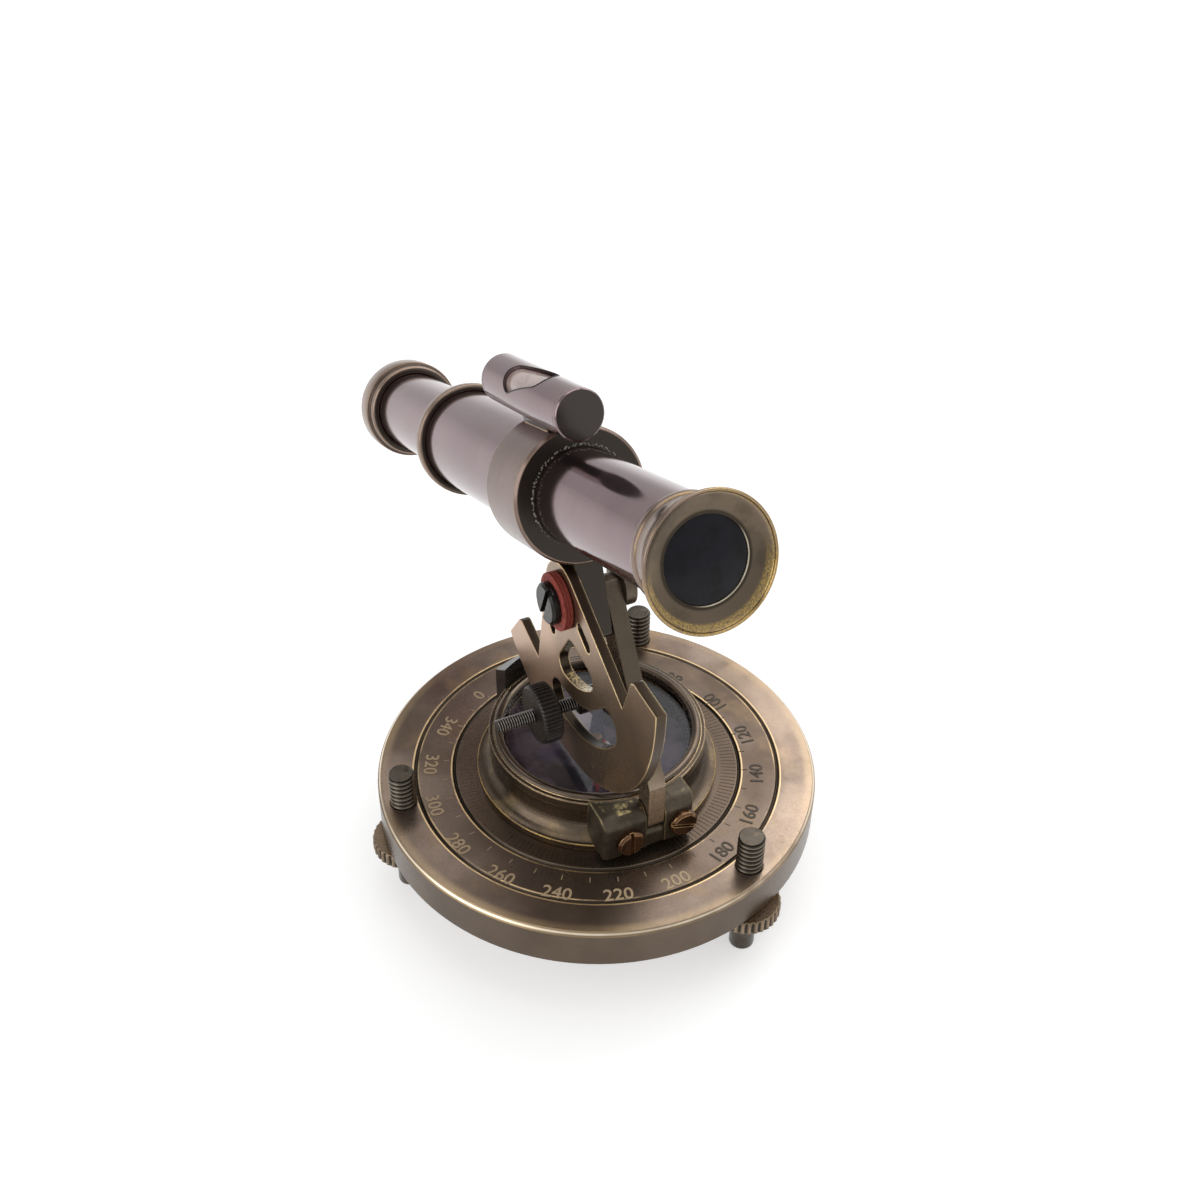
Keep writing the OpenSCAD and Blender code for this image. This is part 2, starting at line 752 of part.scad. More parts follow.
module hinge_block_far() {
    color("#4f473c")
    difference() {
        cheek(far_cheek_l, 0);
        hinge_screw_bores();
    }
}

module hinge_pin() {
    color("#7d7468")
    across(hinge_x, hinge_z) cylinder(d = pin_d, h = 2 * (cheek_y + pin_depth), center = true);
}

module hinge_screws() {
    color("#9a6a3a")
    at_hinge_screws()
    difference() {
        union() {
            chamfered(hinge_head_d / 2, hinge_head_t);
            translate([0, 0, -hinge_screw_l])
                cylinder(d = hinge_screw_d, h = hinge_screw_l + hinge_head_t / 2);
        }
        translate([-hinge_head_d, -slot_w / 2, hinge_head_t - slot_depth])
            cube([2 * hinge_head_d, slot_w, slot_depth + cut]);
    }
}

module arm_bar() {
    pivot = [pivot_x, pivot_z];
    front_x = hinge_x + tongue_w / 2;
    back_x = hinge_x - tongue_w / 2;
    color("#57503f")
    difference() {
        union() {
            translate([0, arm_t / 2, 0]) rotate([90, 0, 0]) {
                linear_extrude(arm_t)
                    polygon([
                        [front_x, hinge_z], [front_x, arm_meets(arm_side, front_x)], pivot + arm_side,
                        pivot - arm_side, [back_x, arm_meets(-arm_side, back_x)], [back_x, hinge_z]]);
                round_plate([[stud_x, stud_z], [ear_x, ear_z]], ear_r, arm_t);
            }
            across(hinge_x, hinge_z) cylinder(d = tongue_w, h = arm_t, center = true);
            across(pivot_x, pivot_z) cylinder(d = arm_w, h = arm_t, center = true);
        }
        across(hinge_x, hinge_z) cylinder(r = pin_d / 2 + run_gap, h = arm_t + 2 * cut, center = true);
        across(pivot_x, pivot_z) cylinder(r = pivot_d / 2 + seat_gap, h = arm_t + 2 * cut, center = true);
        across(stud_x, stud_z) cylinder(r = stud_d / 2 + seat_gap, h = arm_t + 2 * cut, center = true);
    }
}

module clamp_stud() {
    color("#24221f")
    across(stud_x, stud_z)
    union() {
        translate([0, 0, -arm_t / 2]) cylinder(d = stud_d, h = arm_t / 2 + sector_near + stud_reach);
        translate([0, 0, arm_t / 2]) cylinder(d = shoulder_d, h = lug_near - face_gap - arm_t / 2);
    }
}

module clamp_nut() {
    color("#24221f")
    across(stud_x, stud_z)
    translate([0, 0, sector_near + clamp_gap])
    difference() {
        knurled(clamp_nut_d / 2, clamp_ridges, clamp_nut_t);
        translate([0, 0, -cut]) cylinder(r = stud_d / 2 + run_gap, h = clamp_nut_t + 2 * cut);
    }
}

module pivot_screw() {
    color("#24221f")
    across(pivot_x, pivot_z)
    difference() {
        union() {
            translate([0, 0, -arm_t / 2 - pivot_nut_t])
                cylinder(d = pivot_d, h = arm_t / 2 + pivot_nut_t + washer_near + pivot_head_t / 2);
            translate([0, 0, washer_near]) chamfered(pivot_head_d / 2, pivot_head_t);
        }
        rotate([0, 0, -pivot_slot_turn])
            translate([-pivot_slot_w / 2, -pivot_head_d, washer_near + pivot_head_t - pivot_slot_depth])
            cube([pivot_slot_w, 2 * pivot_head_d, pivot_slot_depth + cut]);
    }
}

module pivot_washers() {
    color("#9a3324")
    across(pivot_x, pivot_z)
    for (i = [0:2])
        translate([0, 0, washer_near - (i + 1) * washer_t])
        rotate_extrude()
        polygon([
            [pivot_d / 2 + seat_gap, seat_gap], [washer_d / 2 - washer_edge, seat_gap],
            [washer_d / 2, seat_gap + washer_edge], [washer_d / 2, washer_t - washer_edge],
            [washer_d / 2 - washer_edge, washer_t], [pivot_d / 2 + seat_gap, washer_t]]);
}

module pivot_nut() {
    color("#4f473c")
    across(pivot_x, pivot_z)
        ring(pivot_nut_d / 2, pivot_d / 2 + seat_gap, -arm_t / 2 - pivot_nut_t, -arm_t / 2);
}

// Outline of the sector with its arc left to the round that trims it
module sector_outline() {
    edge = boss_r * [-sin(edge_angle), cos(edge_angle)];
    notch = [notch_depth, edge.y + (notch_depth - edge.x) * tan(edge_angle)];
    corner = [corner_depth, sqrt(pow(sector_r + arc_lift, 2) - pow(corner_depth + arc_lift, 2))];
    tip = [prong_depth, prong_offset];
    inner = tip + prong_round * (notch - tip) / norm(notch - tip);
    outer = tip + prong_round * (corner - tip) / norm(corner - tip);
    past = corner + (corner - tip) / norm(corner - tip) * cut;
    half = [edge, notch, inner, outer, past, [sector_r + cut, past.y]];
    polygon(concat(half, [for (i = [len(half) - 1:-1:0]) [half[i].x, -half[i].y]]));
}

module curved_slot(t) {
    reach = sector_r;
    intersection() {
        ring(slot_r + arc_slot_w / 2, slot_r - arc_slot_w / 2, 0, t);
        linear_extrude(t)
            polygon([[0, 0], reach * [cos(slot_half), -sin(slot_half)],
                [reach / cos(slot_half), 0], reach * [cos(slot_half), sin(slot_half)]]);
    }
    for (side = [-1, 1])
        rotate([0, 0, side * slot_half]) translate([slot_r, 0, 0]) cylinder(d = arc_slot_w, h = t);
}

// Opening with a round top and a bottom that follows the slot
module large_opening(t) {
    half = window_half - window_round;
    corner_r = window_bottom - window_round;
    low = sqrt(corner_r * corner_r - half * half);
    round_plate([[window_top + window_round, 0], [low, -half], [low, half]], window_round, t);
    intersection() {
        ring(window_bottom, corner_r, 0, t);
        linear_extrude(t) polygon([[0, 0], 2 * [low, -half], 2 * [low, half]]);
    }
}

module sector_plate() {
    through = sector_t + 2 * cut;
    color("#8a6f3c")
    at_pivot()
    translate([0, -lug_near, 0]) rotate([90, 0, 0]) rotate([0, 0, sector_set - 90])
    difference() {
        union() {
            intersection() {
                linear_extrude(sector_t) sector_outline();
                translate([-arc_lift, 0, 0]) cylinder(r = sector_r + arc_lift, h = sector_t);
            }
            cylinder(r = boss_r, h = sector_t);
        }
        translate([0, 0, -cut]) {
            cylinder(r = pivot_d / 2 + run_gap, h = through);
            curved_slot(through);
            large_opening(through);
            for (side = [-1, 1])
                translate([leaf_depth, side * leaf_offset, 0])
                rotate([0, 0, side * edge_angle])
                round_plate([[-leaf_l / 2, 0], [leaf_l / 2, 0]], leaf_w / 2, through);
        }
    }
}

module telescope_collar() {
    lip_back = collar_front - collar_lip;
    low = lug_round - lug_drop;
    color("#6a5f3a")
    difference() {
        union() {
            on_tube()
            rotate_extrude()
            polygon([
                [0, -collar_back], [collar_r - collar_edge, -collar_back],
                [collar_r, collar_edge - collar_back], [collar_r, collar_front - collar_edge],
                [collar_r - collar_edge, collar_front], [0, collar_front]]);
            at_pivot()
            translate([0, tube_y + lug_t / 2, 0]) rotate([90, 0, 0])
            round_plate([[lug_round - lug_l / 2, low], [lug_l / 2 - lug_round, low],
                [lug_l / 2 - lug_round, axis_rise - rear_r - lug_round],
                [lug_round - lug_l / 2, axis_rise - rear_r - lug_round]], lug_round, lug_t);
            on_level()
            translate([-level_r - level_lift - seat_sink, -seat_w / 2, -seat_l / 2])
                cube([level_r + level_lift + seat_sink - level_in_r / 2, seat_w, seat_l]);
        }
        on_tube() {
            translate([0, 0, -collar_back - cut])
                cylinder(r = rear_r + seat_gap, h = lip_back + collar_back + cut);
            translate([0, 0, -collar_back])
                cylinder(r = front_r + seat_gap, h = collar_front + collar_back + cut);
        }
        on_level() cylinder(r = level_r + seat_gap, h = level_l + 2 * cut, center = true);
        across(pivot_x, pivot_z) cylinder(r = pivot_d / 2 + run_gap, h = sector_near);
    }
}

module front_tube() {
    color("#77707a")
    on_tube() ring(front_r, front_in_r, -front_tube_in, tube_end);
}

module rear_tube() {
    color("#77707a")
    on_tube() ring(rear_r, rear_in_r, rear_tube_end, collar_front - collar_lip);
}

module rear_ring() {
    r = rear_ring_d / 2;
    bore = draw_r + run_gap;
    socket = rear_r + seat_gap;
    color("#6a5f50")
    on_tube()
    rotate_extrude()
    polygon([
        [bore, ring_back], [r - eye_edge, ring_back], [r, ring_back + eye_edge],
        [r, ring_front - eye_edge], [r - eye_edge, ring_front], [socket, ring_front],
        [socket, rear_tube_end], [bore, rear_tube_end]]);
}

module objective_cell() {
    socket = front_r + seat_gap;
    neck_r = (front_r + bead_r) / 2;
    bead_front = cell_back + bead_w;
    bell_l = cell_l - bead_w - eye_edge;
    mouth_z = objective_reach - aperture_depth;
    color("#6a603c")
    on_tube()
    rotate_extrude()
    polygon(concat(
        [[socket, cell_back], [neck_r, cell_back], [bead_r, cell_back + bead_w / 4],
            [bead_r, bead_front - bead_w / 4]],
        [for (i = [0:arc_steps]) let (k = i / arc_steps)
            [neck_r + (rim_r - neck_r) * k * k, bead_front + bell_l * k]],
        [[rim_r - eye_edge, objective_reach], [aperture_r, mouth_z], [aperture_r, lens_front],
            [front_in_r, lens_front], [front_in_r, tube_end], [socket, tube_end]]));
}

module objective_retainer() {
    color("#a08a58")
    on_tube() ring(glass_r, glass_r - retainer_w, lens_back - retainer_l, lens_back);
}

module objective_lens() {
    dome_r = aperture_r - seat_gap;
    color("#15131a", 0.7)
    on_tube()
    rotate_extrude()
    polygon(concat(
        [[0, lens_back], [glass_r, lens_back], [glass_r, lens_front]],
        [for (i = [arc_steps:-1:0]) let (k = i / arc_steps)
            [dome_r * k, lens_front + lens_bulge * (1 - k * k)]]));
}

module draw_tube() {
    color("#7d7680")
    on_tube() ring(draw_r, draw_r - draw_t, draw_back, draw_front);
}

module draw_bush() {
    color("#8a7448")
    on_tube() ring(rear_in_r - run_gap, draw_r + seat_gap, draw_front - bush_l, draw_front);
}

module eyepiece_cap() {
    step_r = eye_step_d / 2;
    flange_rim = eye_flange_d / 2;
    socket = draw_r + seat_gap;
    lens_seat = eye_r + seat_gap;
    hole_r = eye_hole_d / 2;
    color("#6a5f50")
    on_tube()
    rotate_extrude()
    polygon([
        [socket, cap_front], [step_r - eye_edge, cap_front], [step_r, cap_front - eye_edge],
        [step_r, step_back], [flange_rim - eye_edge, step_back], [flange_rim, step_back - eye_edge],
        [flange_rim, cap_back + eye_edge], [flange_rim - eye_edge, cap_back],
        [hole_r + 2 * eye_edge, cap_back], [hole_r, cap_back + 2 * eye_edge], [hole_r, eye_lens_back],
        [lens_seat, eye_lens_back], [lens_seat, draw_back], [socket, draw_back]]);
}

module eye_lens() {
    color("#15131a", 0.7)
    on_tube()
    rotate_extrude()
    polygon(concat(
        [[0, eye_lens_back], [eye_r, eye_lens_back], [eye_r, eye_lens_front]],
        [for (i = [arc_steps:-1:0]) let (k = i / arc_steps)
            [(eye_r - retainer_w) * k, eye_lens_front + lens_bulge * (1 - k * k)]]));
}

module eye_retainer() {
    color("#a08a58")
    on_tube() ring(eye_r, eye_r - retainer_w, eye_lens_front, draw_back);
}

module level_tube() {
    half = level_l / 2 - level_cap_t;
    run = (level_window_l - level_window_w) / 2;
    color("#7a735e")
    on_level()
    difference() {
        ring(level_r, level_in_r, -half, half);
        rotate([0, 0, level_window_turn]) rotate([0, 90, 0]) rotate([0, 0, level_window_skew])
            round_plate([[-run, 0], [run, 0]], level_window_w / 2, level_d);
    }
}

module level_vial() {
    half = level_l / 2 - level_cap_t - level_plug_l;
    color("#a8b0a0", 0.6)
    on_level() cylinder(r = plug_r, h = 2 * half, center = true);
}

module level_caps() {
    half = level_l / 2 - level_cap_t;
    color("#3a362e")
    on_level()
    for (side = [0, 1])
        mirror([0, 0, side])
        rotate_extrude()
        polygon([
            [0, half - level_plug_l], [plug_r, half - level_plug_l], [plug_r, half], [level_r, half],
            [level_r, half + level_cap_t - level_cap_edge], [level_r - level_cap_edge, half + level_cap_t],
            [0, half + level_cap_t]]);
}

base_plate();
levelling_rod(0);  // levelling_rod_1
levelling_rod(1);  // levelling_rod_2
levelling_rod(2);  // levelling_rod_3
levelling_wheel(0);  // levelling_wheel_1
levelling_wheel(1);  // levelling_wheel_2
levelling_wheel(2);  // levelling_wheel_3
azimuth_spindle();
spindle_washer();
spindle_nut();
compass_box();
bezel_ring();
compass_glass();
compass_dial();
needle_pin();
compass_needle();
needle_cap();
rest_block();
hinge_block_near();
hinge_block_far();
hinge_pin();
hinge_screws();
arm_bar();
clamp_stud();
clamp_nut();
pivot_screw();
pivot_washers();
pivot_nut();
sector_plate();
telescope_collar();
front_tube();
rear_tube();
rear_ring();
objective_cell();
objective_retainer();
objective_lens();
draw_tube();
draw_bush();
eyepiece_cap();
eye_lens();
eye_retainer();
level_tube();
level_vial();
level_caps();
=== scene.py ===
import bpy
import bmesh
import json
import math
from mathutils import Matrix, Vector


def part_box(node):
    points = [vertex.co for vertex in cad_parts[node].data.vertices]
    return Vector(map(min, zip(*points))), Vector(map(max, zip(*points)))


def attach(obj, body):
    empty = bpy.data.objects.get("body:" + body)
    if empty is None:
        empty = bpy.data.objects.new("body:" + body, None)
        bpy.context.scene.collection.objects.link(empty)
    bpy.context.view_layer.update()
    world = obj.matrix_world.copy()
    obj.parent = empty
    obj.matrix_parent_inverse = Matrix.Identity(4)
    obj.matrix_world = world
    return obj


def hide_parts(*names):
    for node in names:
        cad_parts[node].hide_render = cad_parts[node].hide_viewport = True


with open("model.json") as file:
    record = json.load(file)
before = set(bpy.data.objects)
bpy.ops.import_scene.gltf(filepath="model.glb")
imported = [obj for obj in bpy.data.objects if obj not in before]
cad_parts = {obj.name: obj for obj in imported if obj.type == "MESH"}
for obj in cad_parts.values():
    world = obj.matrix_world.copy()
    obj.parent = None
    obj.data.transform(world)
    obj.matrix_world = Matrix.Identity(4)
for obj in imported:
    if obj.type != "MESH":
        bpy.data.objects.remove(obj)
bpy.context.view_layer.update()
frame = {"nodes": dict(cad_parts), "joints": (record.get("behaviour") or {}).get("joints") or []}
nodes = frame["nodes"]
scene = bpy.context.scene
scene.view_settings.view_transform = "Standard"
mm = 0.001
fullTurn = 2 * math.pi
origin, unturned, fullSize = (0, 0, 0), (0, 0, 0), (1, 1, 1)
print("frame loaded with", len(nodes), "nodes")

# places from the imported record, and seats measured from them
joints = {joint["name"]: joint for joint in frame["joints"]}
pivot = Vector(joints["telescope_tilt"]["pos_m"])
studSpot = Vector(joints["clamp_turn"]["pos_m"])
sightLine = Vector(joints["focus"]["axis"])
tiltAngle = math.atan2(sightLine.z, sightLine.x)
tubeSeat = {"side": -5.2 * mm, "rise": 22.1 * mm}  # off the arm's middle, above the pivot
tubeFrame = (Matrix.Translation(pivot) @ Matrix.Rotation(-tiltAngle, 4, "Y")
             @ Matrix.Translation((0, tubeSeat["side"], tubeSeat["rise"]))
             @ Matrix.Rotation(math.pi / 2, 4, "Y"))
levelSeat = {"turn": 186.6, "reach": 19.6 * mm, "back": 2.35 * mm, "pitch": 2.7}
levelFrame = (tubeFrame @ Matrix.Rotation(math.radians(levelSeat["turn"]), 4, "Z")
              @ Matrix.Translation((levelSeat["reach"], 0, -levelSeat["back"]))
              @ Matrix.Rotation(-math.radians(levelSeat["pitch"]), 4, "Y"))
sectorFrame = (Matrix.Translation((pivot.x, 0, pivot.z)) @ Matrix.Rotation(math.pi / 2, 4, "X")
               @ Matrix.Rotation(tiltAngle, 4, "Z"))
clampFrame = Matrix.Translation((studSpot.x, 0, studSpot.z)) @ Matrix.Rotation(math.pi / 2, 4, "X")
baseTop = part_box("base_plate")[1].z
plateFace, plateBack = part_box("sector_plate")[0].y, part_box("sector_plate")[1].y


def tone(*levels):  # a colour as seen on the photo, made linear
    linear = [share / 12.92 if share < 0.04045 else ((share + 0.055) / 1.055) ** 2.4
              for share in (level / 255 for level in levels)]
    return tuple(linear) + (1.0,)


# small helpers for node trees, shader and geometry alike
def feed(tree, socket, value):
    if isinstance(value, bpy.types.NodeSocket):
        tree.links.new(value, socket)
    elif value is not None:
        socket.default_value = value


def feedAll(tree, sockets, values):
    for key, value in values.items():
        feed(tree, sockets[key], value)


def addNode(tree, kind, values=None, **settings):
    node = tree.nodes.new(kind)
    for key, value in settings.items():
        setattr(node, key, value)
    feedAll(tree, node.inputs, values or {})
    return node


def calc(tree, operation, *values):
    return addNode(tree, "ShaderNodeMath", dict(enumerate(values)), operation=operation).outputs[0]


def product(tree, first, *others):
    for other in others:
        first = calc(tree, "MULTIPLY", first, other)
    return first


def total(tree, first, second):
    return calc(tree, "ADD", first, second)


def minus(tree, first, second):
    return calc(tree, "SUBTRACT", first, second)


def fade(tree, value, low, high, toLow=0.0, toHigh=1.0):
    given = dict(enumerate((value, low, high, toLow, toHigh)))
    return addNode(tree, "ShaderNodeMapRange", given, interpolation_type="SMOOTHSTEP").outputs[0]


def blendColour(tree, amount, first, second):
    return addNode(tree, "ShaderNodeMix", {0: amount, 6: first, 7: second}, data_type="RGBA").outputs[2]


def cloud(tree, where, scale, detail=3.0, roughness=0.55):
    return addNode(tree, "ShaderNodeTexNoise", {"Vector": where, "Scale": scale, "Detail": detail,
                                                "Roughness": roughness}).outputs["Fac"]


def objectPoint(tree):
    return addNode(tree, "ShaderNodeTexCoord").outputs["Object"]


def stretched(tree, where, place=origin, turn=unturned, scale=fullSize):
    return addNode(tree, "ShaderNodeMapping", {"Vector": where, "Location": place, "Rotation": turn,
                                               "Scale": scale}, vector_type="TEXTURE").outputs[0]


def axes(tree, where):
    return addNode(tree, "ShaderNodeSeparateXYZ", {0: where}).outputs


def joinedPoint(tree, x=None, y=None, z=None):
    return addNode(tree, "ShaderNodeCombineXYZ", {"X": x, "Y": y, "Z": z}).outputs[0]


def alignment(tree, first, second):
    return addNode(tree, "ShaderNodeVectorMath", {0: first, 1: second},
                   operation="DOT_PRODUCT").outputs["Value"]


def radiusFrom(tree, where):  # distance from the local Z axis, in metres
    flat = addNode(tree, "ShaderNodeVectorMath", {0: where, 1: (1, 1, 0)}, operation="MULTIPLY")
    return addNode(tree, "ShaderNodeVectorMath", {0: flat.outputs[0]}, operation="LENGTH").outputs["Value"]


def turnedPoint(tree, where):  # radius, height and a little of the angle: marks run round the axis
    parts = axes(tree, where)
    angle = calc(tree, "ARCTAN2", parts["Y"], parts["X"])
    return joinedPoint(tree, radiusFrom(tree, where), product(tree, angle, 0.6 * mm), parts["Z"])


def startTree(name, kind, inputs, outputs):
    tree = bpy.data.node_groups.new(name, kind)
    for label, socketType, value in inputs:
        socket = tree.interface.new_socket(label, in_out="INPUT", socket_type=socketType)
        if value is not None:
            socket.default_value = value
    for label, socketType in outputs:
        tree.interface.new_socket(label, in_out="OUTPUT", socket_type=socketType)
    return tree, tree.nodes.new("NodeGroupInput").outputs, tree.nodes.new("NodeGroupOutput").inputs


floatKind, colourKind, vectorKind = "NodeSocketFloat", "NodeSocketColor", "NodeSocketVector"
intKind, materialKind, geometryKind = "NodeSocketInt", "NodeSocketMaterial", "NodeSocketGeometry"


# rubbed edges: compares the surface with its own rounded corner
def makeRubbedEdges():
    tree, given, out = startTree(
        "rubbedEdges", "ShaderNodeTree",
        [("Radius", floatKind, 0.0004), ("Start", floatKind, 0.02), ("Full", floatKind, 0.12)],
        [("Mask", floatKind), ("Soft Normal", vectorKind)])
    corner = addNode(tree, "ShaderNodeBevel", {"Radius": given["Radius"]}, samples=6).outputs[0]
    facing = alignment(tree, corner, addNode(tree, "ShaderNodeNewGeometry").outputs["Normal"])
    mask = fade(tree, minus(tree, 1.0, facing), given["Start"], given["Full"])
    feedAll(tree, out, {"Mask": mask, "Soft Normal": corner})
    return tree


# old lacquer and dirt over metal, worn through where the mask says
def makePatina():
    tree, given, out = startTree(
        "patina", "ShaderNodeTree",
        [("Main", colourKind, (0.2, 0.2, 0.2, 1)), ("Dark", colourKind, (0.1, 0.1, 0.1, 1)),
         ("Warm", colourKind, (0.2, 0.15, 0.1, 1)), ("Bright", colourKind, (0.6, 0.5, 0.3, 1)),
         ("Patch Size", floatKind, 60.0), ("Patch Amount", floatKind, 0.5),
         ("Speck Size", floatKind, 900.0), ("Speck Amount", floatKind, 0.3),
         ("Wear", floatKind, 0.0), ("Wear Breakup", floatKind, 260.0),
         ("Rough", floatKind, 0.35), ("Rough Spread", floatKind, 0.15), ("Where", vectorKind, None)],
        [("Color", colourKind), ("Roughness", floatKind), ("Height", floatKind)])
    spot = given["Where"]
    broad = cloud(tree, spot, given["Patch Size"], 4.0)
    second = cloud(tree, spot, product(tree, given["Patch Size"], 2.7), 3.0)
    fine = cloud(tree, spot, given["Speck Size"], 2.0, 0.7)
    colour = given["Main"]
    for pattern, low, high, amount, shade in ((broad, 0.42, 0.68, "Patch Amount", "Dark"),
                                              (second, 0.5, 0.72, "Patch Amount", "Warm"),
                                              (fine, 0.56, 0.74, "Speck Amount", "Dark")):
        cover = product(tree, fade(tree, pattern, low, high), given[amount])
        colour = blendColour(tree, cover, colour, given[shade])
    torn = fade(tree, cloud(tree, spot, given["Wear Breakup"], 4.0, 0.65), 0.3, 0.62, 0.25, 1.0)
    worn = product(tree, given["Wear"], torn)
    uneven = minus(tree, broad, fade(tree, fine, 0.3, 0.7, 0.8, 0.2))
    rough = total(tree, given["Rough"], product(tree, given["Rough Spread"], uneven))
    feedAll(tree, out, {"Color": blendColour(tree, worn, colour, given["Bright"]),
                        "Roughness": calc(tree, "MAXIMUM", rough, 0.08),
                        "Height": total(tree, product(tree, fine, 0.5), product(tree, worn, -0.4))})
    return tree


# fine tool marks, long along one axis of the given point
def makeToolMarks():
    tree, given, out = startTree("toolMarks", "ShaderNodeTree",
                                 [("Where", vectorKind, None), ("Fineness", floatKind, 400.0)],
                                 [("Lines", floatKind)])
    first = cloud(tree, given["Where"], given["Fineness"], 3.0, 0.7)
    other = cloud(tree, given["Where"], product(tree, given["Fineness"], 3.1), 2.0, 0.6)
    feed(tree, out["Lines"], total(tree, product(tree, first, 0.6), product(tree, other, 0.4)))
    return tree


rubbedEdges, patina, toolMarks = makeRubbedEdges(), makePatina(), makeToolMarks()


def useGroup(tree, group, values):
    return addNode(tree, "ShaderNodeGroup", values, node_tree=group).outputs


def emptyMaterial(name):
    material = bpy.data.materials.new(name)
    material.use_nodes = True
    tree = material.node_tree
    tree.nodes.clear()
    shader = addNode(tree, "ShaderNodeBsdfPrincipled")
    addNode(tree, "ShaderNodeOutputMaterial", {"Surface": shader.outputs[0]})
    return material, tree, shader.inputs


def bumped(tree, height, strength, depth, normal=None):
    return addNode(tree, "ShaderNodeBump", {"Strength": strength, "Distance": depth * mm, "Height": height,
                                            "Normal": normal}).outputs[0]


# what a metal has unless its own look says otherwise; edge radius and bump depth in mm
plainFinish = {"patchSize": 60.0, "patchAmount": 0.5, "speckSize": 900.0, "speckAmount": 0.3,
               "roughSpread": 0.15, "edgeRadius": 0.4, "edgeStart": 0.015, "edgeFull": 0.1, "edgeWear": 0.9,
               "wearBreakup": 260.0, "wearZones": [], "turned": False, "brushTurn": unturned,
               "brushScale": fullSize, "lineFineness": 1800.0, "lineShade": 0.12, "lineBump": 0.5,
               "bump": 0.25, "bumpDepth": 0.05, "metallic": 0.85, "darkZones": [], "paintZones": []}
patinaLabels = ("Main", "Dark", "Warm", "Bright", "Patch Size", "Patch Amount", "Speck Size", "Speck Amount",
                "Wear Breakup", "Rough", "Rough Spread")


def agedMetal(name, look):
    look = {**plainFinish, "warm": look["main"], **look}
    material, tree, shader = emptyMaterial(name)
    point = local = objectPoint(tree)
    if "frame" in look:  # the piece's own axes
        seat = look["frame"]
        local = stretched(tree, point, seat.to_translation(), seat.to_quaternion().to_euler())
    edge = useGroup(tree, rubbedEdges, {"Radius": look["edgeRadius"] * mm, "Start": look["edgeStart"],
                                        "Full": look["edgeFull"]})
    wear = product(tree, edge["Mask"], look["edgeWear"])
    for extra in look["wearZones"]:
        wear = calc(tree, "MAXIMUM", wear, extra(tree, local))
    if "crest" in look:  # ridged pieces: painted highlight with wear on the crests, painted shade with dirt in the valleys
        valley = addNode(tree, "ShaderNodeAttribute", attribute_name="valley").outputs["Fac"]
        wear = product(tree, wear, fade(tree, valley, 0.1, 0.5, 1.0, 0.2))
    values = {label: look[label[0].lower() + label[1:].replace(" ", "")] for label in patinaLabels}
    body = useGroup(tree, patina, dict(values, Wear=wear, Where=point))
    if look["turned"]:
        marks = turnedPoint(tree, local)
    else:
        marks = stretched(tree, local, origin, look["brushTurn"], look["brushScale"])
    lines = useGroup(tree, toolMarks, {"Where": marks, "Fineness": look["lineFineness"]})["Lines"]
    lighter = fade(tree, lines, 0.3, 0.7, 1.0 - look["lineShade"], 1.0 + look["lineShade"])
    colour = addNode(tree, "ShaderNodeVectorMath", {0: body["Color"], "Scale": lighter},
                     operation="SCALE").outputs[0]
    if "crest" in look:
        # painted shade with dirt in the valleys, then a painted highlight with wear on the crests
        shadedValleys = fade(tree, valley, 0.3, 0.85, 0.0, look["valleyShadeAndDirt"])
        colour = blendColour(tree, shadedValleys, colour, look["shadeAndDirtTone"])
        colour = blendColour(tree, fade(tree, valley, 0.0, 0.3, look["crest"], 0.0), colour, look["bright"])
    for zone in look["darkZones"]:
        colour = blendColour(tree, zone(tree, local), colour, look["darkZoneTone"])
    for zone, shade in look["paintZones"]:
        colour = blendColour(tree, zone(tree, local), colour, shade)
    height = total(tree, body["Height"], product(tree, lines, look["lineBump"]))
    normal = bumped(tree, height, look["bump"], look["bumpDepth"], edge["Soft Normal"])
    feedAll(tree, shader, {"Base Color": colour, "Roughness": body["Roughness"],
                           "Metallic": look["metallic"], "Normal": normal})
    return material


# zones for the looks: masks in a piece's own axes, all measures in mm
def band(low, high, soft, axis="Z"):  # a stretch of one local axis, or of the radius
    def zone(tree, local):
        value = radiusFrom(tree, local) if axis == "R" else axes(tree, local)[axis]
        return product(tree, fade(tree, value, (low - soft) * mm, low * mm),
                       fade(tree, value, high * mm, (high + soft) * mm, 1.0, 0.0))
    return zone


def blotch(low, high, size):  # a torn mask, to break up a zone
    def zone(tree, local):
        return fade(tree, cloud(tree, local, size, 4.0, 0.65), low, high)
    return zone


def times(amount, *zones):
    def zone(tree, local):
        return product(tree, amount, *(each(tree, local) for each in zones))
    return zone


onTop = band(24.2, 26, 0.2)  # the base's upper side


def topRing(amount, low, high, soft, *others):
    return times(amount, band(low, high, soft, "R"), onTop, *others)


def upTo(radius, soft):
    return band(0, radius, soft, "R")


creamEdge, whiteEdge, goldEdge = tone(240, 208, 158), tone(255, 240, 214), tone(222, 182, 112)
grooveDirt = tone(46, 40, 34)

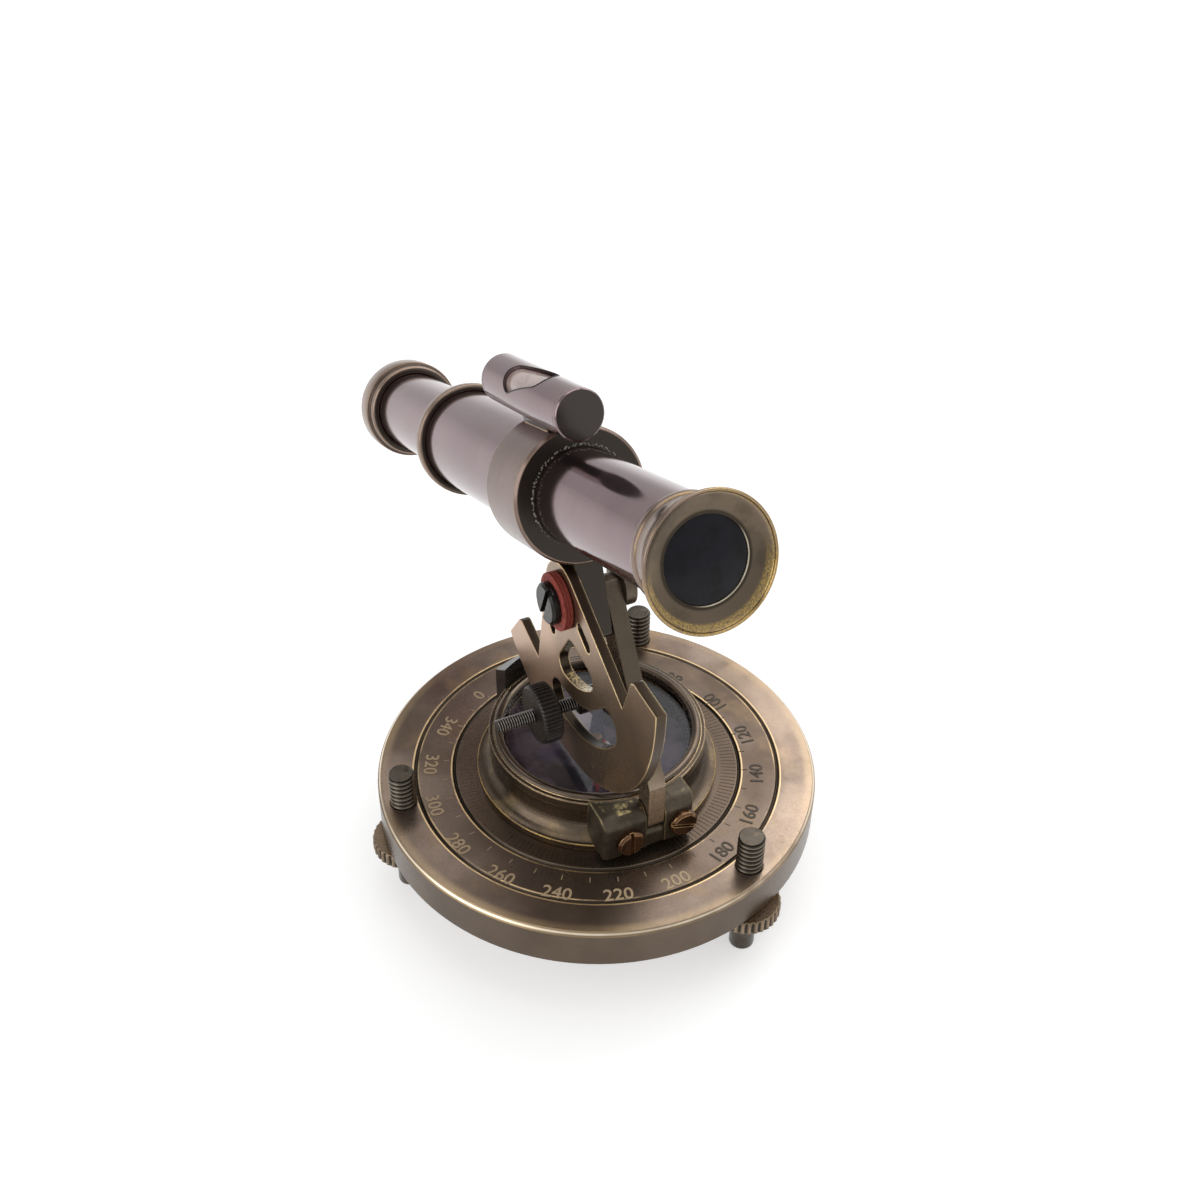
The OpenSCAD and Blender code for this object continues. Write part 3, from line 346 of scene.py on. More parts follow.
baseLook = {"main": tone(160, 141, 128), "dark": tone(98, 83, 71), "warm": tone(164, 138, 110),
            "bright": creamEdge, "darkZoneTone": tone(84, 72, 60), "patchSize": 42.0, "patchAmount": 0.75,
            "speckSize": 1500.0, "rough": 0.3, "roughSpread": 0.1, "turned": True, "lineFineness": 2400.0,
            "lineShade": 0.05, "lineBump": 0.25, "bump": 0.12, "edgeWear": 0.5, "edgeStart": 0.02,
            "edgeFull": 0.12, "wearBreakup": 48.0, "metallic": 0.92,
            "darkZones": [topRing(0.42, 0, 41.0, 0.6), topRing(0.5, 0, 32.5, 0.5),
                          times(0.85, band(49.8, 51, 0.1, "R")),
                          # painted shade and reflection of the compass box and hinge: the top darker towards
                          # the front (+X) and the left (-Y)
                          times(0.45, band(-60, -12, 30, "Y"), onTop, blotch(0.35, 0.6, 24.0)),
                          times(0.3, band(26, 60, 12, "X"), onTop)],
            "paintZones": [(topRing(0.85, 41.05, 41.85, 0.12), grooveDirt),
                           (topRing(0.85, 32.3, 33.1, 0.12), grooveDirt),
                           (topRing(0.9, 41.9, 42.15, 0.1, blotch(0.3, 0.55, 40.0)), creamEdge),
                           (topRing(0.6, 40.7, 40.9, 0.1, blotch(0.4, 0.6, 60.0)), creamEdge),
                           (topRing(0.9, 33.15, 33.4, 0.1, blotch(0.32, 0.56, 46.0)), creamEdge),
                           # painted highlight with wear: a soft cream band along the rim's top edge
                           (topRing(0.35, 48.6, 50.3, 1.8, blotch(0.3, 0.7, 20.0)), tone(226, 196, 150)),
                           # painted reflection: a light patch on the right-hand (+Y) part of the outer ring
                           (topRing(0.4, 43.5, 50.3, 3, band(15, 60, 15, "Y"), band(-12, 60, 20, "X"),
                                    blotch(0.25, 0.6, 60.0)), tone(206, 182, 160)),
                           # painted highlight with wear: a white line along the rim's rounded top edge
                           (times(0.9, band(49.5, 50.3, 0.15, "R"), band(24.55, 25.2, 0.15),
                                  blotch(0.3, 0.6, 30.0)), whiteEdge),
                           (times(0.7, band(49.6, 50.3, 0.1, "R"), band(14.7, 15.2, 0.1)), creamEdge)]}

boxLook = {"main": tone(96, 83, 70), "dark": tone(62, 52, 42), "warm": tone(124, 105, 74),
           "bright": goldEdge, "patchAmount": 0.6, "speckAmount": 0.15, "rough": 0.28, "turned": True,
           "lineShade": 0.08, "edgeRadius": 0.5, "edgeWear": 1.0, "edgeFull": 0.09,
           "wearBreakup": 70.0, "bump": 0.2, "metallic": 0.88}
bezelLook = dict(boxLook, main=tone(98, 86, 75), dark=tone(64, 55, 47), warm=tone(112, 95, 74),
                 bright=creamEdge, rough=0.22, edgeRadius=0.4, speckAmount=0.05)

tubeLook = {"main": tone(136, 117, 120), "dark": tone(112, 95, 98), "warm": tone(132, 111, 108),
            "bright": tone(178, 158, 142), "patchSize": 45.0, "patchAmount": 0.35, "speckSize": 1700.0,
            "speckAmount": 0.25, "rough": 0.12, "roughSpread": 0.03, "turned": True, "frame": tubeFrame,
            "lineFineness": 1500.0, "lineShade": 0.03, "lineBump": 0.12, "bump": 0.08, "edgeWear": 0.8,
            "edgeRadius": 0.25, "metallic": 0.95}
levelCap = {"from": 19.27, "beyond": 30, "radius": 4.82}  # the level's dark end discs
levelLook = dict(tubeLook, frame=levelFrame, edgeRadius=0.28, bright=tone(52, 47, 45), darkZoneTone=tone(74, 69, 67),
                 darkZones=[times(0.95, band(low, high, 0.05), upTo(levelCap["radius"], 0.04))
                            for low, high in ((levelCap["from"], levelCap["beyond"]),
                                              (-levelCap["beyond"], -levelCap["from"]))])

collarLook = {"main": tone(126, 108, 102), "dark": tone(98, 84, 77), "warm": tone(130, 109, 96),
              "bright": tone(216, 180, 132), "darkZoneTone": tone(60, 56, 50), "patchSize": 50.0, "patchAmount": 0.4,
              "speckAmount": 0.08, "rough": 0.24, "roughSpread": 0.08, "turned": True, "frame": tubeFrame,
              "lineFineness": 2200.0, "lineShade": 0.05, "lineBump": 0.3, "bump": 0.12, "edgeRadius": 0.3,
              "wearBreakup": 90.0, "metallic": 0.9,
              "darkZones": [times(0.95, band(6.02, 7.5, 0.06), upTo(13.35, 0.2)),
                            times(0.95, band(14.6, 50, 0.3, "R"))]}
ringLook = dict(collarLook, main=tone(138, 120, 108), dark=tone(100, 86, 76), warm=tone(146, 120, 106),
                bright=tone(204, 168, 132), darkZoneTone=tone(74, 68, 62), patchSize=60.0, patchAmount=0.5,
                speckAmount=0.1, lineShade=0.06, lineBump=0.5, edgeWear=0.8,
                darkZones=[times(0.95, band(-57.48, -57.3, 0.05), upTo(12.35, 0.2)),
                           times(0.95, band(-101.88, -101.6, 0.05), upTo(10.75, 0.2)),
                           times(0.7, band(-104.48, -104.2, 0.05), upTo(11.65, 0.2))])

dishFace = times(1.0, band(58.3, 61.2, 0.3), upTo(11.2, 1.2))  # the hollow front of the objective
cellLook = {"main": tone(138, 121, 112), "dark": tone(104, 92, 78), "warm": tone(136, 118, 92),
            "bright": tone(176, 142, 84), "patchAmount": 0.45, "speckAmount": 0.15, "rough": 0.22,
            "roughSpread": 0.1, "turned": True, "frame": tubeFrame, "lineFineness": 2400.0,
            "lineShade": 0.06, "lineBump": 0.3, "bump": 0.14, "wearBreakup": 120.0, "metallic": 0.92,
            "paintZones": [(times(0.9, dishFace), tone(102, 90, 75)),
                           (times(0.4, dishFace, blotch(0.45, 0.7, 160.0)), tone(58, 51, 42)),
                           (times(0.8, band(58.3, 59.2, 0.3), upTo(8.4, 0.5)), tone(46, 41, 34)),
                           (times(0.85, band(59.0, 61.2, 0.5), band(11.2, 12.9, 0.6, "R"),
                                  blotch(0.3, 0.72, 3600.0), band(5, 20, 8, "X")), tone(206, 174, 102)),
                           (times(0.7, band(59.6, 61.2, 0.4), band(12.1, 12.9, 0.5, "R"),
                                  blotch(0.3, 0.7, 3600.0), band(3, 20, 6, "Y")), tone(196, 166, 98)),
                           # painted highlight: a lit crescent on one side of the bore wall in front of the
                           # lens
                           (times(0.7, band(57.58, 58.48, 0.05), upTo(8.1, 0.1), band(-1, 20, 4, "X"),
                                  band(0, 20, 4, "Y")), tone(226, 214, 190))]}

cutWalls = band(-plateBack / mm + 0.12, -plateFace / mm - 0.12, 0.08)  # the cut edges of the plate
sectorLook = {"main": tone(160, 134, 110), "dark": tone(118, 97, 78), "warm": tone(164, 134, 102),
              "bright": tone(255, 224, 168), "darkZoneTone": tone(58, 51, 42), "patchAmount": 0.6,
              "speckAmount": 0.05, "rough": 0.28, "roughSpread": 0.02, "brushScale": (0.08, 1, 0.6),
              "brushTurn": (0, 0.5, 0), "lineFineness": 1400.0, "lineShade": 0.05, "bump": 0.03,
              "edgeRadius": 0.55, "edgeWear": 1.0, "edgeStart": 0.008, "edgeFull": 0.05,
              "wearBreakup": 80.0, "metallic": 0.9, "frame": sectorFrame,
              "darkZones": [times(0.18, band(26, 60, 12, "R")), times(0.9, cutWalls)],
              "paintZones": [(times(0.95, cutWalls, band(10.5, 20.2, 0.4, "R"), band(-5.5, 5.5, 0.4, "X"),
                                    blotch(0.44, 0.56, 1700.0)), tone(196, 172, 124)),
                             # painted reflection: the front face of the left prong (-X) lighter
                             (times(0.7, band(-50, -12, 8, "X"), band(-plateFace / mm - 0.1, 20, 0.08)),
                              tone(206, 172, 146))]}
armLook = {"main": tone(178, 158, 136), "dark": tone(124, 109, 92), "warm": tone(180, 158, 128),
           "bright": tone(206, 186, 142), "darkZoneTone": tone(72, 64, 55), "patchSize": 110.0, "patchAmount": 0.6,
           "speckAmount": 0.2, "rough": 0.3, "brushScale": (0.3, 1, 0.1), "brushTurn": (0, -0.55, 0),
           "lineFineness": 1400.0, "edgeRadius": 0.25, "edgeWear": 0.7, "wearBreakup": 180.0, "bump": 0.1,
           # painted shade: the arm darker above 52 mm, under the telescope
           "metallic": 0.88, "darkZones": [times(0.85, band(52, 100, 12))]}
cheekTop = band(37.2, 38.5, 0.1)
cheekLook = {"main": tone(88, 79, 67), "dark": tone(60, 53, 44), "warm": tone(100, 88, 69),
             "bright": tone(214, 194, 140), "patchSize": 160.0, "patchAmount": 0.7, "rough": 0.42,
             "brushScale": (1, 0.3, 1), "lineFineness": 1500.0, "lineShade": 0.14, "edgeRadius": 0.9,
             "edgeStart": 0.12, "edgeFull": 0.26, "edgeWear": 0.85, "wearBreakup": 320.0, "metallic": 0.82,
             "wearZones": [times(0.5, cheekTop, blotch(0.58, 0.66, 420.0)),
                           times(0.9, cheekTop, band(25.2, 28.4, 1.2, "X"), band(-7.6, -5.8, 1, "Y"),
                                 blotch(0.42, 0.54, 900.0))]}
screwLook = {"main": tone(114, 86, 64), "dark": tone(60, 44, 33), "warm": tone(134, 96, 64),
             "bright": tone(238, 192, 136), "patchSize": 200.0, "patchAmount": 0.6, "speckAmount": 0.15,
             "rough": 0.2, "edgeRadius": 0.3, "wearBreakup": 400.0, "metallic": 0.95}

rodLook = {"main": tone(88, 81, 72), "dark": tone(50, 45, 40), "warm": tone(98, 84, 68),
           "bright": tone(176, 164, 144), "patchSize": 200.0, "speckAmount": 0.15, "rough": 0.28,
           "edgeRadius": 0.18, "edgeWear": 0.4, "metallic": 0.88}
# crest and valley amounts: painted highlight with wear on the crests, painted shade with dirt in the valleys
threadLook = dict(rodLook, crest=0.35, valleyShadeAndDirt=0.95, shadeAndDirtTone=tone(20, 18, 16))
blackLook = {"main": tone(42, 40, 39), "dark": tone(22, 21, 20), "warm": tone(50, 45, 41),
             "bright": tone(128, 120, 112), "patchSize": 150.0, "speckAmount": 0.15, "rough": 0.3,
             "edgeRadius": 0.18, "edgeWear": 0.45, "metallic": 0.75}
studLook = dict(blackLook, main=tone(60, 56, 54), bright=tone(190, 180, 172), crest=0.6, valleyShadeAndDirt=0.95,
                shadeAndDirtTone=tone(14, 13, 12))
nutLook = dict(blackLook, main=tone(62, 58, 55), crest=0.1, valleyShadeAndDirt=0.45, shadeAndDirtTone=tone(20, 19, 17))
wheelLook = {"main": tone(132, 114, 95), "dark": tone(84, 71, 58), "warm": tone(132, 110, 84),
             "bright": tone(232, 200, 150), "patchSize": 160.0, "patchAmount": 0.6, "speckAmount": 0.15,
             "rough": 0.3, "edgeRadius": 0.3, "edgeWear": 0.8, "metallic": 0.88, "crest": 0.0,
             "valleyShadeAndDirt": 0.9, "shadeAndDirtTone": tone(36, 31, 25)}
solderLook = {"main": tone(150, 150, 142), "dark": tone(96, 94, 84), "bright": tone(206, 206, 198),
              "rough": 0.34, "speckSize": 2400.0, "edgeWear": 0.0, "metallic": 0.8}
digitLook = {"main": tone(134, 114, 90), "dark": tone(72, 60, 48), "bright": tone(206, 176, 134),
             "rough": 0.45, "patchSize": 260.0, "patchAmount": 0.4, "edgeWear": 0.3, "edgeRadius": 0.1,
             "metallic": 0.35,
             # painted shade and highlight: digits and marks darker on the right-hand (+Y) side, lighter on
             # the left (-Y) and at the front (+X)
             "paintZones": [(times(0.9, band(6, 60, 12, "Y")), tone(62, 52, 42)),
                            (times(0.7, band(-60, -10, 10, "Y")), tone(168, 146, 116)),
                            (times(0.8, band(28, 60, 8, "X"), band(-60, 4, 4, "Y")), tone(184, 162, 130))]}
tickLook = dict(digitLook, main=tone(70, 60, 51), metallic=0.9, rough=0.32, paintZones=[])

looks = {name: agedMetal(name, look) for name, look in (
    ("basePatina", baseLook), ("boxPatina", boxLook), ("bezelPatina", bezelLook), ("tubeLacquer", tubeLook),
    ("collarPatina", collarLook), ("ringPatina", ringLook), ("cellPatina", cellLook),
    ("sectorBrushed", sectorLook), ("armPatina", armLook), ("cheekPatina", cheekLook),
    ("copperScrew", screwLook), ("rodSteel", rodLook), ("threadSteel", threadLook), ("studSteel", studLook),
    ("nutSteel", nutLook), ("blackSteel", blackLook), ("wheelBrass", wheelLook), ("levelLacquer", levelLook),
    ("oldSolder", solderLook), ("digitBrass", digitLook), ("tickBrass", tickLook))}


def fibreMaterial():
    look = {"main": tone(150, 58, 44), "dark": tone(92, 32, 26), "dust": tone(176, 92, 72),
            "dustAmount": 0.5, "strandSize": 1400.0, "strandTurn": (0, 0.4, 0), "strandScale": (1, 0.12, 1),
            "dustSize": 500.0, "bump": 0.4, "bumpDepth": 0.08}
    material, tree, shader = emptyMaterial("redFibre")
    point = objectPoint(tree)
    along = stretched(tree, point, origin, look["strandTurn"], look["strandScale"])
    strands = cloud(tree, along, look["strandSize"], 4.0, 0.7)
    colour = blendColour(tree, fade(tree, strands, 0.35, 0.7), look["main"], look["dark"])
    dust = product(tree, fade(tree, cloud(tree, point, look["dustSize"]), 0.56, 0.75), look["dustAmount"])
    feedAll(tree, shader, {"Base Color": blendColour(tree, dust, colour, look["dust"]),
                           "Roughness": fade(tree, strands, 0.2, 0.8, 0.6, 0.85),
                           "Normal": bumped(tree, strands, look["bump"], look["bumpDepth"])})
    return material


def glassMaterial(name, look):
    look = {"coat": 0.0, "gloss": 0.5, "waveSize": 300.0, "wave": 0.05, "waveDepth": 0.05, **look}
    material, tree, shader = emptyMaterial(name)
    point = objectPoint(tree)
    smear = cloud(tree, point, look["smearSize"], 4.0, 0.6)
    colour = blendColour(tree, fade(tree, smear, 0.4, 0.7), look["tint"], look["tintDark"])
    rough = fade(tree, smear, 0.45, 0.75, look["rough"], look["rough"] + look["smear"])
    waves = cloud(tree, point, look["waveSize"], 2.0)
    feedAll(tree, shader, {"Base Color": colour, "Roughness": rough, "IOR": look["bend"],
                           "Transmission Weight": look["clear"], "Coat Weight": look["coat"],
                           "Specular IOR Level": look["gloss"],
                           "Normal": bumped(tree, waves, look["wave"], look["waveDepth"])})
    return material


def dialMaterial():  # a printed card: cloudy ground, soft spots, a two-armed star with a ring
    look = {"card": tone(108, 96, 104), "ink": tone(30, 26, 32), "violet": tone(62, 50, 88),
            "pale": tone(128, 122, 128), "white": tone(244, 240, 232), "grey": tone(190, 178, 170),
            "orange": tone(206, 156, 92), "starSmall": 3.4 * mm, "starLarge": 13.8 * mm, "starSharp": 6.0,
            "ring": 4.5, "ringWidth": 1.6, "patchSize": 110.0, "otherSize": 150.0, "grainSize": 900.0,
            "bump": 0.1, "bumpDepth": 0.05}
    spots = [((9.9 * mm, -4.7 * mm, 0), 1.4 * mm, 0.8, tone(176, 54, 48)),
             ((-3.0 * mm, -10.9 * mm, 0), 3.4 * mm, 0.6, tone(70, 56, 100)),
             ((2.2 * mm, -6.1 * mm, 0), 2.2 * mm, 0.45, tone(150, 142, 144))]
    material, tree, shader = emptyMaterial("dialCard")
    point = objectPoint(tree)
    patch = cloud(tree, point, look["patchSize"])
    other = cloud(tree, stretched(tree, point, (0.03, 0.01, 0), (0, 0, 0.6)), look["otherSize"], 2.0)
    colour = blendColour(tree, fade(tree, patch, 0.42, 0.6), look["card"], look["ink"])
    colour = blendColour(tree, fade(tree, other, 0.6, 0.72, 0.0, 0.8), colour, look["violet"])
    colour = blendColour(tree, fade(tree, other, 0.26, 0.36, 0.5, 0.0), colour, look["pale"])
    for place, size, amount, shade in spots:
        near = radiusFrom(tree, stretched(tree, point, place))
        colour = blendColour(tree, fade(tree, near, size * 0.3, size, amount, 0.0), colour, shade)
    parts = axes(tree, point)
    angle = calc(tree, "ARCTAN2", parts["Y"], parts["X"])
    ray = calc(tree, "POWER", calc(tree, "ABSOLUTE", calc(tree, "COSINE", angle)), look["starSharp"])
    reach = fade(tree, ray, 0.0, 1.0, look["starSmall"], look["starLarge"])
    inside = calc(tree, "LESS_THAN", radiusFrom(tree, point), reach)
    shaded = calc(tree, "GREATER_THAN", calc(tree, "SINE", product(tree, angle, 2.0)), 0.0)
    colour = blendColour(tree, inside, colour, blendColour(tree, shaded, look["white"], look["grey"]))
    ring = band(look["ring"], look["ring"] + look["ringWidth"], 0.1, "R")(tree, point)
    colour = blendColour(tree, product(tree, inside, ring), colour, look["orange"])
    grain = cloud(tree, point, look["grainSize"])
    feedAll(tree, shader, {"Base Color": colour, "Roughness": fade(tree, patch, 0.3, 0.7, 0.45, 0.7),
                           "Normal": bumped(tree, grain, look["bump"], look["bumpDepth"])})
    return material


def needleMaterial():
    look = {"blue": tone(40, 40, 58), "red": tone(178, 40, 40), "worn": tone(30, 26, 34), "split": -25.0,
            "soft": 0.3 * mm, "grainSize": 1200.0, "metallic": 0.4}
    material, tree, shader = emptyMaterial("needlePaint")
    point = objectPoint(tree)
    along = axes(tree, stretched(tree, point, origin, (0, 0, math.radians(look["split"]))))["X"]
    grain = cloud(tree, point, look["grainSize"])
    colour = blendColour(tree, fade(tree, along, -look["soft"], look["soft"]), look["blue"], look["red"])
    colour = blendColour(tree, fade(tree, grain, 0.55, 0.75, 0.0, 0.5), colour, look["worn"])
    feedAll(tree, shader, {"Base Color": colour, "Roughness": fade(tree, grain, 0.3, 0.7, 0.25, 0.45),
                           "Metallic": look["metallic"]})
    return material


redFibre = fibreMaterial()
coverGlass = glassMaterial("coverGlass", {
    "tint": tone(236, 234, 240), "tintDark": tone(214, 211, 220), "rough": 0.0, "smear": 0.015,
    "smearSize": 60.0, "clear": 1.0, "bend": 1.5})
vialGlass = glassMaterial("vialGlass", {
    "tint": tone(170, 150, 144), "tintDark": tone(126, 110, 104), "rough": 0.08, "smear": 0.1,
    "smearSize": 200.0, "clear": 0.0, "bend": 1.45, "coat": 0.6})
lensGlass = glassMaterial("lensGlass", {
    "tint": tone(22, 20, 28), "tintDark": tone(9, 8, 11), "rough": 0.12, "smear": 0.15, "smearSize": 250.0,
    "clear": 0.0, "bend": 1.5, "gloss": 0.2})
dialCard, needlePaint = dialMaterial(), needleMaterial()
print("materials made:", len(bpy.data.materials))

dress = {
    "basePatina": ["base_plate", "spindle_nut", "spindle_washer"],
    "boxPatina": ["compass_box"],
    "bezelPatina": ["bezel_ring"],
    "tubeLacquer": ["front_tube", "rear_tube", "draw_tube"],
    "levelLacquer": ["level_tube", "level_caps"],
    "collarPatina": ["telescope_collar", "draw_bush", "eye_retainer", "objective_retainer"],
    "ringPatina": ["rear_ring", "eyepiece_cap"],
    "cellPatina": ["objective_cell"],
    "sectorBrushed": ["sector_plate"],
    "armPatina": ["arm_bar", "pivot_nut"],
    "cheekPatina": ["hinge_block_near", "hinge_block_far"],
    "copperScrew": ["hinge_screws", "needle_cap", "needle_pin"],
    "rodSteel": ["levelling_rod_1", "levelling_rod_2", "levelling_rod_3", "hinge_pin", "azimuth_spindle"],
    "blackSteel": ["clamp_stud", "clamp_nut", "pivot_screw", "rest_block"],
    "wheelBrass": ["levelling_wheel_1", "levelling_wheel_2", "levelling_wheel_3"],
}
dressed = {name: looks[key] for key, names in dress.items() for name in names}
dressed.update({"pivot_washers": redFibre, "compass_glass": coverGlass, "level_vial": vialGlass,
                "objective_lens": lensGlass, "eye_lens": lensGlass, "compass_dial": dialCard,
                "compass_needle": needlePaint})
for name, material in dressed.items():
    mesh = nodes[name].data
    mesh.materials.clear()
    mesh.materials.append(material)


# geometry trees: each ends in its place, realized and with its material
def geometryTree(name, inputs):
    placing = [("Turn", vectorKind, None), ("Place", vectorKind, None), ("Surface", materialKind, None)]
    return startTree(name, "GeometryNodeTree", inputs + placing, [("Geometry", geometryKind)])


def endTree(tree, given, out, geometry):
    place = addNode(tree, "GeometryNodeTransform", {"Geometry": geometry, "Translation": given["Place"],
                                                    "Rotation": given["Turn"]})
    real = addNode(tree, "GeometryNodeRealizeInstances", {0: place.outputs[0]})
    surface = addNode(tree, "GeometryNodeSetMaterial", {"Geometry": real.outputs[0],
                                                        "Material": given["Surface"]})
    feed(tree, out["Geometry"], surface.outputs[0])
    return tree


def pointCircle(tree, given):
    return addNode(tree, "GeometryNodeMeshCircle", {"Vertices": given["Count"], "Radius": given["Radius"]},
                   fill_type="NONE").outputs["Mesh"]


# a round whose skin is ridged: knurls run straight, threads climb with a lead
def makeRidgedRound():
    neutral = 0.35  # neither crest nor valley, for the flat ends
    tree, given, out = geometryTree("ridgedRound", [
        ("Radius", floatKind, 0.003), ("Bore", floatKind, 0.0), ("Depth", floatKind, 0.0005),
        ("Ridges", floatKind, 1.0), ("Lead", floatKind, 0.0), ("Length", floatKind, 0.01),
        ("Chamfer", floatKind, 0.0003), ("Around", intKind, 32), ("Along", intKind, 100)])
    sheet = addNode(tree, "GeometryNodeMeshGrid",
                    {"Size X": 1.0, "Size Y": 1.0, "Vertices X": given["Around"],
                     "Vertices Y": given["Along"]})
    grid = axes(tree, addNode(tree, "GeometryNodeInputPosition").outputs[0])
    around = total(tree, grid["X"], 0.5)
    last = minus(tree, given["Along"], 1.0)
    row = calc(tree, "ROUND", product(tree, total(tree, grid["Y"], 0.5), last))
    share = calc(tree, "DIVIDE", minus(tree, row, 1.0), minus(tree, last, 3.0))
    share = calc(tree, "MINIMUM", calc(tree, "MAXIMUM", share, 0.0), 1.0)
    isLast = calc(tree, "GREATER_THAN", row, minus(tree, last, 0.5))
    height = product(tree, share, given["Length"], minus(tree, 1.0, isLast))
    isSkin = product(tree, calc(tree, "GREATER_THAN", row, 0.5),
                     calc(tree, "LESS_THAN", row, minus(tree, last, 1.5)))
    phase = total(tree, product(tree, around, given["Ridges"]), product(tree, height, given["Lead"]))
    valley = fade(tree, calc(tree, "PINGPONG", phase, 0.5), 0.05, 0.45)
    skin = minus(tree, given["Radius"], product(tree, given["Depth"], valley))
    edge = calc(tree, "MINIMUM", height, minus(tree, given["Length"], height))
    skin = calc(tree, "MINIMUM", skin, total(tree, minus(tree, given["Radius"], given["Chamfer"]), edge))
    radius = total(tree, product(tree, isSkin, skin),
                   product(tree, minus(tree, 1.0, isSkin), given["Bore"]))
    angle = product(tree, around, fullTurn)
    spot = joinedPoint(tree, product(tree, radius, calc(tree, "COSINE", angle)),
                       product(tree, radius, calc(tree, "SINE", angle)), height)
    onSkin = product(tree, isSkin, fade(tree, edge, 0.0, given["Chamfer"]))
    value = total(tree, neutral, product(tree, minus(tree, valley, neutral), onSkin))
    marked = addNode(tree, "GeometryNodeStoreNamedAttribute",
                     {"Geometry": sheet.outputs["Mesh"], "Name": "valley", "Value": value},
                     data_type="FLOAT", domain="POINT")
    moved = addNode(tree, "GeometryNodeSetPosition", {"Geometry": marked.outputs["Geometry"],
                                                      "Position": spot})
    return endTree(tree, given, out, moved.outputs[0])


# straight marks set round a circle
def makeRingMarks():
    tree, given, out = geometryTree("ringMarks", [
        ("Count", intKind, 36), ("Radius", floatKind, 0.03), ("Start", floatKind, 0.0),
        ("Size", vectorKind, (0.001, 0.0001, 0.0001))])
    block = addNode(tree, "GeometryNodeMeshCube", {"Size": given["Size"]})
    index = addNode(tree, "GeometryNodeInputIndex").outputs[0]
    angle = calc(tree, "DIVIDE", product(tree, index, fullTurn), given["Count"])
    copies = addNode(tree, "GeometryNodeInstanceOnPoints",
                     {"Points": pointCircle(tree, given), "Instance": block.outputs["Mesh"],
                      "Rotation": joinedPoint(tree, z=angle)})
    whole = addNode(tree, "GeometryNodeTransform", {"Geometry": copies.outputs[0],
                                                    "Rotation": joinedPoint(tree, z=given["Start"])})
    return endTree(tree, given, out, whole.outputs[0])


# crumbs of solder strewn along a circle, thinning out away from one side
def makeCrumbRing():
    tree, given, out = geometryTree("crumbRing", [
        ("Count", intKind, 60), ("Radius", floatKind, 0.01), ("Spread", floatKind, 0.0003),
        ("Small", floatKind, 0.0001), ("Large", floatKind, 0.0004), ("Seed", intKind, 3),
        ("Towards", vectorKind, (1, 0, 0))])
    inwards = product(tree, given["Spread"], -1.0)
    jitter = addNode(tree, "FunctionNodeRandomValue",
                     {0: joinedPoint(tree, inwards, inwards),
                      1: joinedPoint(tree, given["Spread"], given["Spread"]), "Seed": given["Seed"]},
                     data_type="FLOAT_VECTOR")
    moved = addNode(tree, "GeometryNodeSetPosition", {"Geometry": pointCircle(tree, given),
                                                      "Offset": jitter.outputs[0]})
    crumb = addNode(tree, "GeometryNodeMeshIcoSphere", {"Radius": 1.0, "Subdivisions": 2})
    size = addNode(tree, "FunctionNodeRandomValue",
                   {2: given["Small"], 3: given["Large"], "Seed": total(tree, given["Seed"], 1.0)},
                   data_type="FLOAT")
    side = alignment(tree, addNode(tree, "GeometryNodeInputPosition").outputs[0], given["Towards"])
    share = fade(tree, calc(tree, "DIVIDE", side, given["Radius"]), -0.75, 0.2, 0.15, 1.0)
    copies = addNode(tree, "GeometryNodeInstanceOnPoints",
                     {"Points": moved.outputs[0], "Instance": crumb.outputs["Mesh"],
                      "Scale": product(tree, size.outputs[1], share)})
    return endTree(tree, given, out, copies.outputs[0])


ridgedRound, ringMarks, crumbRing = makeRidgedRound(), makeRingMarks(), makeCrumbRing()


# meshes and pieces
def smoothMesh(mesh, sharpFrom):
    mesh.shade_smooth()
    mesh.set_sharp_from_angle(angle=math.radians(sharpFrom))


def tidyMesh(mesh, sharpFrom, near=1e-7):  # doubles merged, loose bits gone, faces outwards
    work = bmesh.new()
    work.from_mesh(mesh)
    bmesh.ops.remove_doubles(work, verts=work.verts, dist=near)
    bmesh.ops.dissolve_degenerate(work, edges=work.edges, dist=near)
    bmesh.ops.delete(work, geom=[edge for edge in work.edges if not edge.link_faces], context="EDGES")
    bmesh.ops.delete(work, geom=[vert for vert in work.verts if not vert.link_faces], context="VERTS")
    bmesh.ops.recalc_face_normals(work, faces=work.faces)
    work.to_mesh(mesh)
    work.free()
    smoothMesh(mesh, sharpFrom)


def meshFrom(name, work, surface):
    mesh = bpy.data.meshes.new(name)
    work.to_mesh(mesh)
    work.free()
    mesh.materials.append(looks[surface])
    return mesh


def plainMesh(holder):  # the evaluated shape as a mesh of its own
    scene.collection.objects.link(holder)
    holder.update_tag()
    bpy.context.view_layer.update()
    return bpy.data.meshes.new_from_object(holder.evaluated_get(bpy.context.evaluated_depsgraph_get()))


def addPiece(name, mesh, body, replaced=()):
    piece = bpy.data.objects.new(name, mesh)
    scene.collection.objects.link(piece)
    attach(piece, body)
    if replaced:
        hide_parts(*replaced)


def fromTree(name, group, body, slot, surface, place, turn=unturned, replaced=(), sharpFrom=30.0, **values):
    holder = bpy.data.objects.new(name + "Maker", bpy.data.meshes.new(name + "Maker"))
    modifier = holder.modifiers.new("tree", "NODES")
    modifier.node_group = group
    values.update(Place=place, Turn=turn, Surface=looks[surface])
    for item in group.interface.items_tree:
        if item.in_out == "INPUT" and item.name in values:
            modifier[item.identifier] = values[item.name]
    mesh = plainMesh(holder)
    mesh.name = name
    holder.modifiers.remove(modifier)
    bpy.data.objects.remove(holder)
    tidyMesh(mesh, sharpFrom)
    addPiece(name, mesh, body, replaced)


